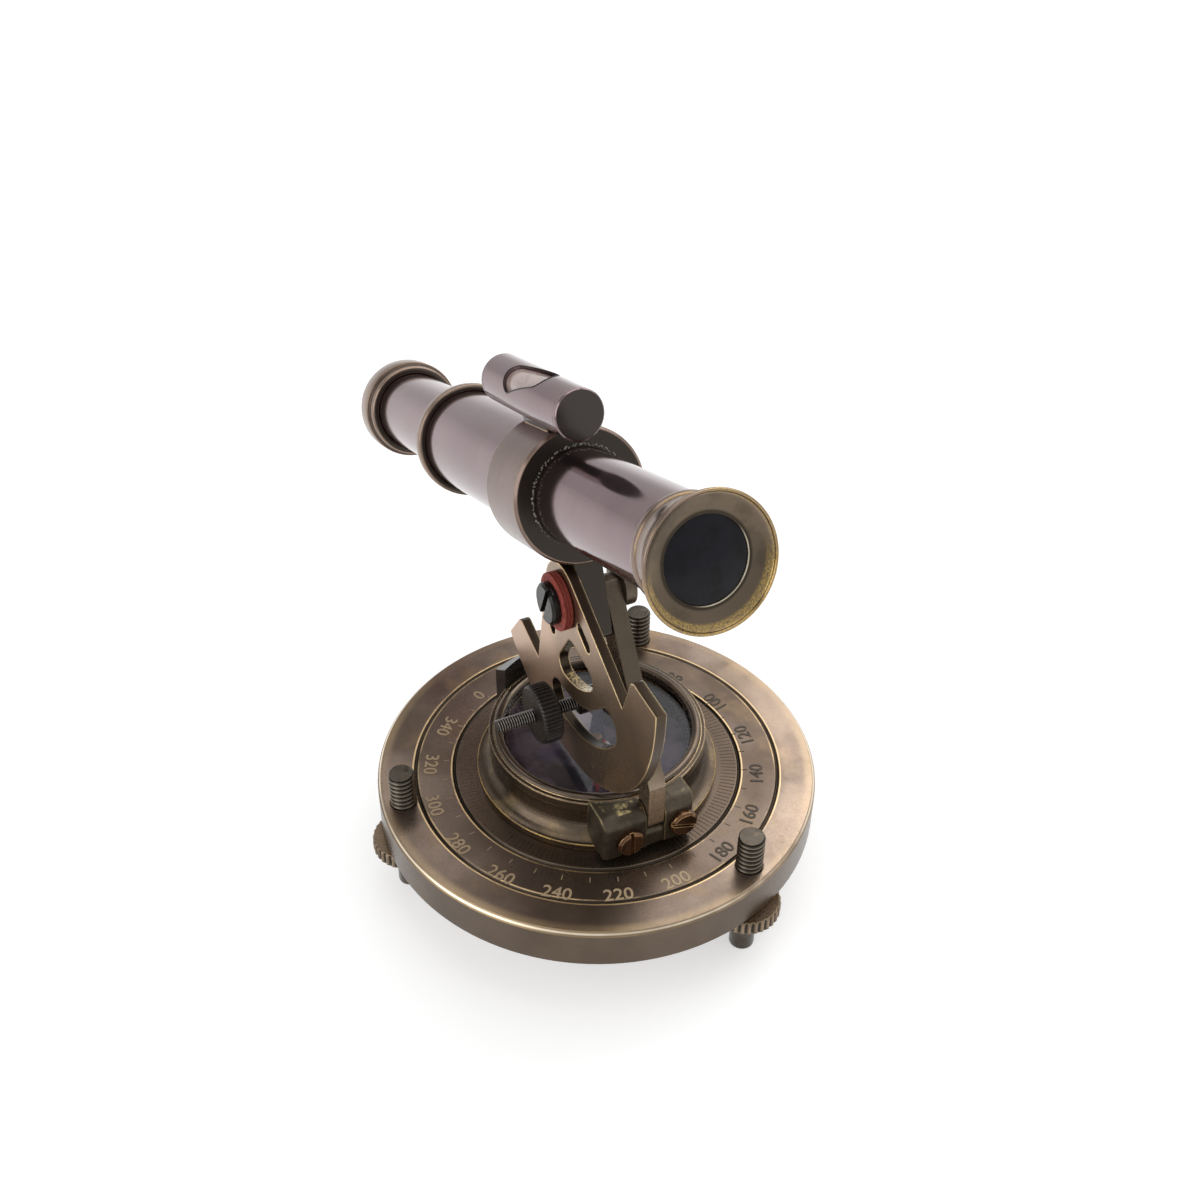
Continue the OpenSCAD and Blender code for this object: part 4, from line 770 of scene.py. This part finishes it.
def skinBetween(work, first, second):  # faces from ring to ring, or from a ring to a point
    count = max(len(first), len(second))
    for here in range(count if count > 1 else 0):
        after = (here + 1) % count
        if len(first) == 1:
            work.faces.new((first[0], second[here], second[after]))
        elif len(second) == 1:
            work.faces.new((first[here], second[0], first[after]))
        else:
            work.faces.new((first[here], second[here], second[after], first[after]))


def roundAngles(count):
    return [fullTurn * step / count for step in range(count)]


def evenShares(count):
    return [step / count for step in range(1, count + 1)]


def halfTurn(steps, first=0):
    return [math.pi * step / steps for step in range(first, steps + 1)]


def turnedPiece(name, profile, matrix, surface, segments, body, replaced=(), sharpFrom=28.0):
    work = bmesh.new()
    rings = []
    for radius, along in profile:
        spots = [(0, 0, along)] if radius < 1e-9 else [
            (radius * math.cos(angle), radius * math.sin(angle), along) for angle in roundAngles(segments)]
        rings.append([work.verts.new(matrix @ Vector(spot)) for spot in spots])
    for first, second in zip(rings, rings[1:] + rings[:1]):
        skinBetween(work, first, second)
    bmesh.ops.recalc_face_normals(work, faces=work.faces)
    mesh = meshFrom(name, work, surface)
    smoothMesh(mesh, sharpFrom)
    addPiece(name, mesh, body, replaced)


def softened(profile, size, flat=165.0, share=0.45, steps=3):  # each corner of a closed profile made round
    points = []
    for here, corner in enumerate(profile):
        spot = Vector(corner)
        back = Vector(profile[here - 1]) - spot
        ahead = Vector(profile[(here + 1) % len(profile)]) - spot
        if spot.x < 1e-9 or math.degrees(back.angle(ahead)) > flat:
            points.append(tuple(spot))
            continue
        reach = min(size, back.length * share, ahead.length * share)
        start, end = spot + back.normalized() * reach, spot + ahead.normalized() * reach
        for part in [0] + evenShares(steps):
            left = 1 - part
            points.append(tuple(start * left ** 2 + spot * 2 * part * left + end * part ** 2))
    return points


def sleeve(inner, outer, low, high):
    return [(inner, low), (outer, low), (outer, high), (inner, high)]


def threadPiece(name, body, surface, node, place, turn, length, size):
    rows = int(length / size["pitch"] * size["rowsPerTurn"]) + size["endRows"]
    fromTree(name, ridgedRound, body, "dark_steel", surface, place, turn, [node], size["threadSharp"],
             Radius=size["radius"], Depth=size["depth"], Ridges=-1.0, Lead=1 / size["pitch"], Length=length,
             Chamfer=size["chamfer"], Around=size["around"], Along=rows)


def knurledPiece(name, body, slot, surface, node, place, turn, length, size):
    fromTree(name, ridgedRound, body, slot, surface, place, turn, [node], Radius=size["wheelRadius"],
             Bore=size["wheelBore"], Depth=size["ridgeDepth"], Ridges=float(size["ridges"]), Length=length,
             Chamfer=size["wheelChamfer"], Around=size["ridges"] * size["perRidge"] + 1,
             Along=size["wheelRows"])


# levelling screws
levelling = {"footRadius": 2.8 * mm, "footLength": 10.6 * mm, "footRound": 0.45 * mm, "footSegments": 64,
             "radius": 2.95 * mm, "pitch": 1.25 * mm, "depth": 0.5 * mm, "chamfer": 0.3 * mm, "around": 33,
             "rowsPerTurn": 12, "endRows": 4, "threadSharp": 40.0, "wheelRadius": 7.8 * mm,
             "wheelBore": 2.95 * mm, "ridges": 32, "ridgeDepth": 0.5 * mm, "wheelChamfer": 0.4 * mm,
             "perRidge": 6, "wheelRows": 16}
footShape = softened(sleeve(0, levelling["footRadius"], 0, levelling["footLength"]), levelling["footRound"])
for number in "123":
    body, rod, wheel = "levelling_screw_" + number, "levelling_rod_" + number, "levelling_wheel_" + number
    low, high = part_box(rod)
    x, y, foot = (low.x + high.x) / 2, (low.y + high.y) / 2, levelling["footLength"]
    threadPiece("threadedRod" + number, body, "threadSteel", rod, (x, y, low.z + foot), unturned,
                high.z - low.z - foot, levelling)
    turnedPiece("plainFoot" + number, footShape, Matrix.Translation((x, y, low.z)), "rodSteel",
                levelling["footSegments"], body)
    low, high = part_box(wheel)
    knurledPiece("fingerWheel" + number, body, "antique_brass", "wheelBrass", wheel, (x, y, low.z), unturned,
                 high.z - low.z, levelling)
print("levelling screws made")

# clamp: threaded stud with its shoulder, knurled nut
clamp = {"radius": 1.5 * mm, "pitch": 0.55 * mm, "depth": 0.3 * mm, "chamfer": 0.3 * mm, "around": 29,
         "rowsPerTurn": 8, "endRows": 4, "threadSharp": 40.0, "extra": 0.8 * mm,
         "shoulderRadius": 2.8 * mm, "shoulderGap": 0.15 * mm, "shoulderRound": 0.2 * mm,
         "shoulderSegments": 64, "wheelRadius": 6.5 * mm, "wheelBore": 1.55 * mm, "ridges": 46,
         "ridgeDepth": 0.22 * mm, "wheelChamfer": 0.4 * mm, "perRidge": 6, "wheelRows": 16}
sideways = (math.pi / 2, 0, 0)
low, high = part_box("clamp_stud")
threadPiece("clampThread", "arm", "studSteel", "clamp_stud", (studSpot.x, high.y, studSpot.z), sideways,
            high.y - low.y + clamp["extra"], clamp)
armNear = -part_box("arm_bar")[0].y
shoulder = sleeve(clamp["radius"], clamp["shoulderRadius"], armNear, -plateBack - clamp["shoulderGap"])
turnedPiece("clampShoulder", softened(shoulder, clamp["shoulderRound"]), clampFrame, "blackSteel",
            clamp["shoulderSegments"], "arm")
low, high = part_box("clamp_nut")
knurledPiece("knurledNut", "clamp_nut", "dark_steel", "nutSteel", "clamp_nut",
             (studSpot.x, high.y, studSpot.z), sideways, high.y - low.y, clamp)
print("clamp made")

# objective: bead, flared bell, rounded lip, hollow face and stepped bore
objective = {"back": 50.3 * mm, "reach": 60.5 * mm, "rim": 12.75 * mm, "bead": 10.5 * mm,
             "beadWidth": 1.7 * mm, "socket": 9.77 * mm, "socketEnd": 54.8 * mm, "aperture": 7.95 * mm,
             "dish": 1.6 * mm, "dishCurve": 1.7, "bore": 0.8 * mm, "seat": 8.85 * mm,
             "lip": 0.35 * mm, "lipStretch": 1.6, "flare": 2.1, "arcSteps": 8, "flareSteps": 32,
             "dishSteps": 12, "segments": 192}
neck = (objective["socket"] + objective["bead"]) / 2
bellStart = objective["back"] + objective["beadWidth"]
lipHeight = objective["lip"] * objective["lipStretch"]
bellEnd = objective["reach"] - lipHeight
beadHalf = objective["beadWidth"] / 2
beadMid = objective["back"] + beadHalf
outline = [(objective["socket"], objective["back"]), (neck, objective["back"])]
outline += [(neck + (objective["bead"] - neck) * math.sin(angle), beadMid - beadHalf * math.cos(angle))
            for angle in halfTurn(objective["arcSteps"])]
for share in evenShares(objective["flareSteps"]):
    outline.append((neck + (objective["rim"] - neck) * share ** objective["flare"],
                    bellStart + (bellEnd - bellStart) * share))
outline += [(objective["rim"] - objective["lip"] * (1 - math.cos(angle)),
             bellEnd + lipHeight * math.sin(angle)) for angle in halfTurn(objective["arcSteps"], 1)]
lipIn, lipFront = outline[-1]
for share in evenShares(objective["dishSteps"]):
    outline.append((lipIn + (objective["aperture"] - lipIn) * share,
                    lipFront - objective["dish"] * (1 - (1 - share) ** objective["dishCurve"])))
shelf = outline[-1][1] - objective["bore"]
outline += [(objective["aperture"], shelf), (objective["seat"], shelf),
            (objective["seat"], objective["socketEnd"]), (objective["socket"], objective["socketEnd"])]
turnedPiece("objectiveBell", outline, tubeFrame, "cellPatina", objective["segments"], "telescope",
            ["objective_cell"])

# rings at the back: the draw tube's ring and the eye cup, with rounded corners
drawRing = {"front": -57.4 * mm, "back": -60.2 * mm, "radius": 13.1 * mm, "bore": 9.5 * mm,
            "socket": 11.47 * mm, "shelf": -58.8 * mm, "round": 0.7 * mm, "segments": 160}
outline = [(drawRing[wide], drawRing[along]) for wide, along in (
    ("bore", "back"), ("radius", "back"), ("radius", "front"), ("socket", "front"), ("socket", "shelf"),
    ("bore", "shelf"))]
turnedPiece("drawRing", softened(outline, drawRing["round"]), tubeFrame, "ringPatina", drawRing["segments"],
            "telescope", ["rear_ring"])

eyeCup = {"front": -101.8 * mm, "step": -104.4 * mm, "back": -110.4 * mm, "stepRadius": 11.4 * mm,
          "radius": 12.2 * mm, "socket": 9.47 * mm, "shelf": -105.2 * mm, "seat": 8.02 * mm,
          "hole": 4.5 * mm, "coneRadius": 5.7 * mm, "coneEnd": -109.2 * mm, "lens": -108.0 * mm,
          "round": 1.1 * mm, "segments": 160}
outline = [(eyeCup[wide], eyeCup[along]) for wide, along in (
    ("socket", "front"), ("stepRadius", "front"), ("stepRadius", "step"), ("radius", "step"),
    ("radius", "back"), ("coneRadius", "back"), ("hole", "coneEnd"), ("hole", "lens"), ("seat", "lens"),
    ("seat", "shelf"), ("socket", "shelf"))]
turnedPiece("eyeCup", softened(outline, eyeCup["round"]), tubeFrame, "ringPatina", eyeCup["segments"],
            "draw", ["eyepiece_cap"])

# crumbs of solder where the front tube leaves the collar
solder = {"radius": 10.35 * mm, "along": 6.1 * mm, "spread": 0.22 * mm, "small": 0.06 * mm,
          "large": 0.26 * mm, "count": 210, "seed": 5, "towards": (-0.9, -0.3, 0.0), "sharpFrom": 60.0}
fromTree("solderSeam", crumbRing, "telescope", "fitting_bronze", "oldSolder",
         tuple(tubeFrame @ Vector((0, 0, solder["along"]))), tuple(tubeFrame.to_euler()), (),
         solder["sharpFrom"], Count=solder["count"], Radius=solder["radius"], Spread=solder["spread"],
         Small=solder["small"], Large=solder["large"], Seed=solder["seed"], Towards=solder["towards"])

# level: a raised dark rim round its window
window = {"radius": 5.1 * mm, "long": 16.0 * mm, "wide": 6.0 * mm, "turn": 20.0, "skew": 14.0,
          "rim": 0.13 * mm, "endSteps": 16, "sideSteps": 12, "sides": 8}
half, run = window["wide"] / 2, (window["long"] - window["wide"]) / 2
outline = []
for way in (1, -1):  # one round end, then the straight side after it
    for step in range(window["endSteps"]):
        angle = math.pi * (step / window["endSteps"] - 0.5)
        outline.append((way * (run + half * math.cos(angle)), way * half * math.sin(angle)))
    for step in range(window["sideSteps"]):
        outline.append((way * run * (1 - 2 * step / window["sideSteps"]), way * half))
skew = math.radians(window["skew"])
rimFrame = levelFrame @ Matrix.Rotation(math.radians(window["turn"]), 4, "Z")
line = []
for along, aside in outline:
    low = along * math.cos(skew) - aside * math.sin(skew)
    side = along * math.sin(skew) + aside * math.cos(skew)
    line.append(rimFrame @ Vector((math.sqrt(window["radius"] ** 2 - side ** 2), side, -low)))
work = bmesh.new()
rings = []
for here, spot in enumerate(line):
    ahead = (line[(here + 1) % len(line)] - line[here - 1]).normalized()
    axis = rimFrame @ Vector((0, 0, (rimFrame.inverted() @ spot).z))
    outward = (spot - axis).normalized()
    aside = ahead.cross(outward).normalized()
    ways = [outward * math.cos(angle) + aside * math.sin(angle) for angle in roundAngles(window["sides"])]
    rings.append([work.verts.new(spot + way * window["rim"]) for way in ways])
for first, second in zip(rings, rings[1:] + rings[:1]):
    skinBetween(work, first, second)
bmesh.ops.recalc_face_normals(work, faces=work.faces)
rimMesh = meshFrom("windowRim", work, "blackSteel")
rimMesh.shade_smooth()
addPiece("windowRim", rimMesh, "telescope")
print("telescope fittings made")

# bezel ring: a half-round bead inside a flat step
bezel = {"open": 21.2 * mm, "bead": 23.35 * mm, "step": 0.8 * mm, "lap": 1.2 * mm, "glass": 1.0 * mm,
         "edge": 0.15 * mm, "beadGap": 0.1 * mm, "arcSteps": 16, "segments": 192}
low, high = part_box("bezel_ring")
shelf = high.z - bezel["step"]
beadMid, beadHalf = (bezel["open"] + bezel["bead"]) / 2, (bezel["bead"] - bezel["open"]) / 2
outline = [(bezel["open"] + bezel["lap"], low.z), (high.x, low.z), (high.x, shelf - bezel["edge"]),
           (high.x - bezel["edge"], shelf), (bezel["bead"] + bezel["beadGap"], shelf),
           (bezel["bead"], shelf - bezel["edge"])]
outline += [(beadMid + beadHalf * math.cos(angle), shelf + bezel["step"] * math.sin(angle))
            for angle in halfTurn(bezel["arcSteps"])]
outline += [(bezel["open"], low.z + bezel["glass"]), (bezel["open"] + bezel["lap"], low.z + bezel["glass"])]
turnedPiece("bezelBead", outline, Matrix(), "bezelPatina", bezel["segments"], "turntable",
            ["bezel_ring"])

# rest block: follows the bezel in front, its top falls away behind
rest = {"gap": 0.05 * mm, "fall": 0.75, "columns": 9}
low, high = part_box("rest_block")
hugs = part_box("bezel_ring")[1].x + rest["gap"]
work = bmesh.new()
rows = []
for column in range(rest["columns"]):
    side = low.y + (high.y - low.y) * column / (rest["columns"] - 1)
    front = -math.sqrt(hugs ** 2 - side ** 2)
    behind = high.z - (front - low.x) * rest["fall"]
    rows.append([work.verts.new((x, side, z)) for x, z in (
        (low.x, low.z), (front, low.z), (front, high.z), (low.x, behind))])
for first, second in zip(rows, rows[1:]):
    for here in range(4):
        after = (here + 1) % 4
        work.faces.new((first[here], first[after], second[after], second[here]))
work.faces.new(rows[0])
work.faces.new(rows[-1])
bmesh.ops.recalc_face_normals(work, faces=work.faces)
wedge = meshFrom("restWedge", work, "blackSteel")
addPiece("restWedge", wedge, "turntable", ["rest_block"])
print("bezel and rest block made")

# circle of degrees on the base: fine ticks, longer marks, numbers with their tops inwards
degrees = {"zero": 202.8, "step": 20, "tickRadius": 30.2 * mm, "tick": (3.4 * mm, 0.17 * mm, 0.06 * mm),
           "ticks": 180, "markRadius": 34.2 * mm, "mark": (1.3 * mm, 0.18 * mm, 0.1 * mm), "marks": 36,
           "numberRadius": 37.3 * mm, "size": 4.3 * mm, "proud": 0.1 * mm, "bold": 0.05 * mm,
           "curveSteps": 4, "sharpFrom": 50.0, "centre": (1.9 * mm, -1.7 * mm),
           "markCentre": (0.9 * mm, -0.8 * mm)}  # numbers and marks were stamped a little off centre
fromTree("degreeTicks", ringMarks, "base", "antique_brass", "tickBrass", (0, 0, baseTop), Start=0.0,
         Count=degrees["ticks"], Radius=degrees["tickRadius"], Size=degrees["tick"])
fromTree("degreeMarks", ringMarks, "base", "antique_brass", "digitBrass", degrees["markCentre"] + (baseTop,),
         Start=math.radians(degrees["zero"]), Count=degrees["marks"], Radius=degrees["markRadius"],
         Size=degrees["mark"])
work = bmesh.new()
for number in range(0, 360, degrees["step"]):
    words = bpy.data.curves.new("digits%d" % number, "FONT")
    words.body = str(number)
    words.size = degrees["size"]
    words.align_x, words.align_y = "CENTER", "CENTER"
    words.fill_mode = "BOTH"
    words.extrude = degrees["proud"]
    words.offset = degrees["bold"]
    words.resolution_u = degrees["curveSteps"]
    holder = bpy.data.objects.new("digits%d" % number, words)
    mesh = plainMesh(holder)
    bpy.data.objects.remove(holder)
    angle = math.radians(degrees["zero"] - number)
    outward = Vector((math.cos(angle), math.sin(angle), 0))
    turned = Matrix((Vector((-outward.y, outward.x, 0)), -outward, Vector((0, 0, 1)))).transposed().to_4x4()
    spot = outward * degrees["numberRadius"] + Vector(degrees["centre"] + (baseTop,))
    mesh.transform(Matrix.Translation(spot) @ turned)
    work.from_mesh(mesh)
numbers = meshFrom("degreeNumbers", work, "digitBrass")
tidyMesh(numbers, degrees["sharpFrom"])
addPiece("degreeNumbers", numbers, "base")
print("circle of degrees made")

# camera as the photo was taken; focal length and frame in the photo's pixels
photoView = {"turn": 64.0, "drop": 38.777, "roll": -0.8515, "back": 0.25011, "aside": 0.0002,
             "height": 0.27361, "focal": 1526.07, "frame": 1200.0, "sensor": 36.0, "near": 0.01}
turn, drop, roll = (math.radians(photoView[key]) for key in ("turn", "drop", "roll"))
rightDir = Vector((math.cos(turn), math.sin(turn), 0))
levelAhead = Vector((-math.sin(turn), math.cos(turn), 0))
upDir = Vector((0, 0, 1))
aheadDir = levelAhead * math.cos(drop) - upDir * math.sin(drop)
downDir = -levelAhead * math.sin(drop) - upDir * math.cos(drop)
across = rightDir * math.cos(roll) + downDir * math.sin(roll)
below = downDir * math.cos(roll) - rightDir * math.sin(roll)
eye = rightDir * photoView["aside"] - levelAhead * photoView["back"] + upDir * photoView["height"]
cameraData = bpy.data.cameras.new("photoCamera")
cameraData.sensor_width = photoView["sensor"]
cameraData.lens = photoView["focal"] / photoView["frame"] * photoView["sensor"]
cameraData.clip_start = photoView["near"]
camera = bpy.data.objects.new("photoCamera", cameraData)
camera.matrix_world = Matrix.Translation(eye) @ Matrix((across, -below, -aheadDir)).transposed().to_4x4()
scene.collection.objects.link(camera)
scene.camera = camera

# floor: lifted to near white where it is looked at, fading far off to the white behind the object
ground = {"size": 6.0, "colour": (0.6, 0.6, 0.6, 1), "rough": 0.9, "lift": 0.52, "farStart": 0.25,
          "farFull": 0.9, "farLift": 0.6}
half = ground["size"] / 2
floorMesh = bpy.data.meshes.new("floor")
floorMesh.from_pydata([(-half, -half, 0), (half, -half, 0), (half, half, 0), (-half, half, 0)], [],
                      [(0, 1, 2, 3)])
floor = bpy.data.objects.new("floor", floorMesh)
scene.collection.objects.link(floor)
floorMaterial, tree, shader = emptyMaterial("paleFloor")
ray = addNode(tree, "ShaderNodeLightPath").outputs
mirrored = calc(tree, "MAXIMUM", ray["Is Glossy Ray"], ray["Is Transmission Ray"])
seen = calc(tree, "MAXIMUM", ray["Is Camera Ray"], mirrored)
far = fade(tree, radiusFrom(tree, objectPoint(tree)), ground["farStart"], ground["farFull"], 0.0,
           ground["farLift"])
lift = total(tree, product(tree, seen, ground["lift"]), product(tree, ray["Is Camera Ray"], far))
feedAll(tree, shader, {"Base Color": ground["colour"], "Roughness": ground["rough"],
                       "Specular IOR Level": 0.0, "Emission Color": (1, 1, 1, 1), "Emission Strength": lift})
floorMesh.materials.append(floorMaterial)

# light tent: pale all round, with two darker sides and three panels
tent = {"sky": 0.8, "low": 0.78, "horizon": -0.1, "zenith": 0.75, "aim": (0, 0, 0.06),
        "shades": [((0.78, -0.38, 0.5), 0.6, 0.97, 0.8), ((-0.55, -0.25, 0.8), 0.78, 0.93, 0.3)],
        "panels": [("topPanel", (-0.25, 0.1, 0.95), 0.9, 1.25), ("leftPanel", (0.15, -0.95, 0.55), 0.8, 1.5),
                   ("rightPanel", (-0.36, 0.68, 0.64), 0.6, 1.7)]}
world = bpy.data.worlds.new("lightTent")
scene.world = world
world.use_nodes = True
tree = world.node_tree
tree.nodes.clear()
sky = addNode(tree, "ShaderNodeTexCoord").outputs["Generated"]
glow = fade(tree, axes(tree, sky)["Z"], tent["horizon"], tent["zenith"], tent["low"], tent["sky"])
for towards, start, full, share in tent["shades"]:
    glow = product(tree, glow, fade(tree, alignment(tree, sky, towards), start, full, 1.0, share))
seen = addNode(tree, "ShaderNodeLightPath").outputs["Is Camera Ray"]  # plain white behind the object
back = addNode(tree, "ShaderNodeBackground", {"Color": (1, 1, 1, 1),
                                              "Strength": calc(tree, "MAXIMUM", glow, seen)})
addNode(tree, "ShaderNodeOutputWorld", {"Surface": back.outputs[0]})

for name, place, size, level in tent["panels"]:
    lamp = bpy.data.lights.new(name, "AREA")
    lamp.shape = "SQUARE"
    lamp.size = size
    lamp.energy = level * math.pi * size * size
    holder = bpy.data.objects.new(name, lamp)
    facing = (Vector(tent["aim"]) - Vector(place)).to_track_quat("-Z", "Y")
    holder.matrix_world = Matrix.Translation(place) @ facing.to_matrix().to_4x4()
    scene.collection.objects.link(holder)
print("camera, floor and light set")
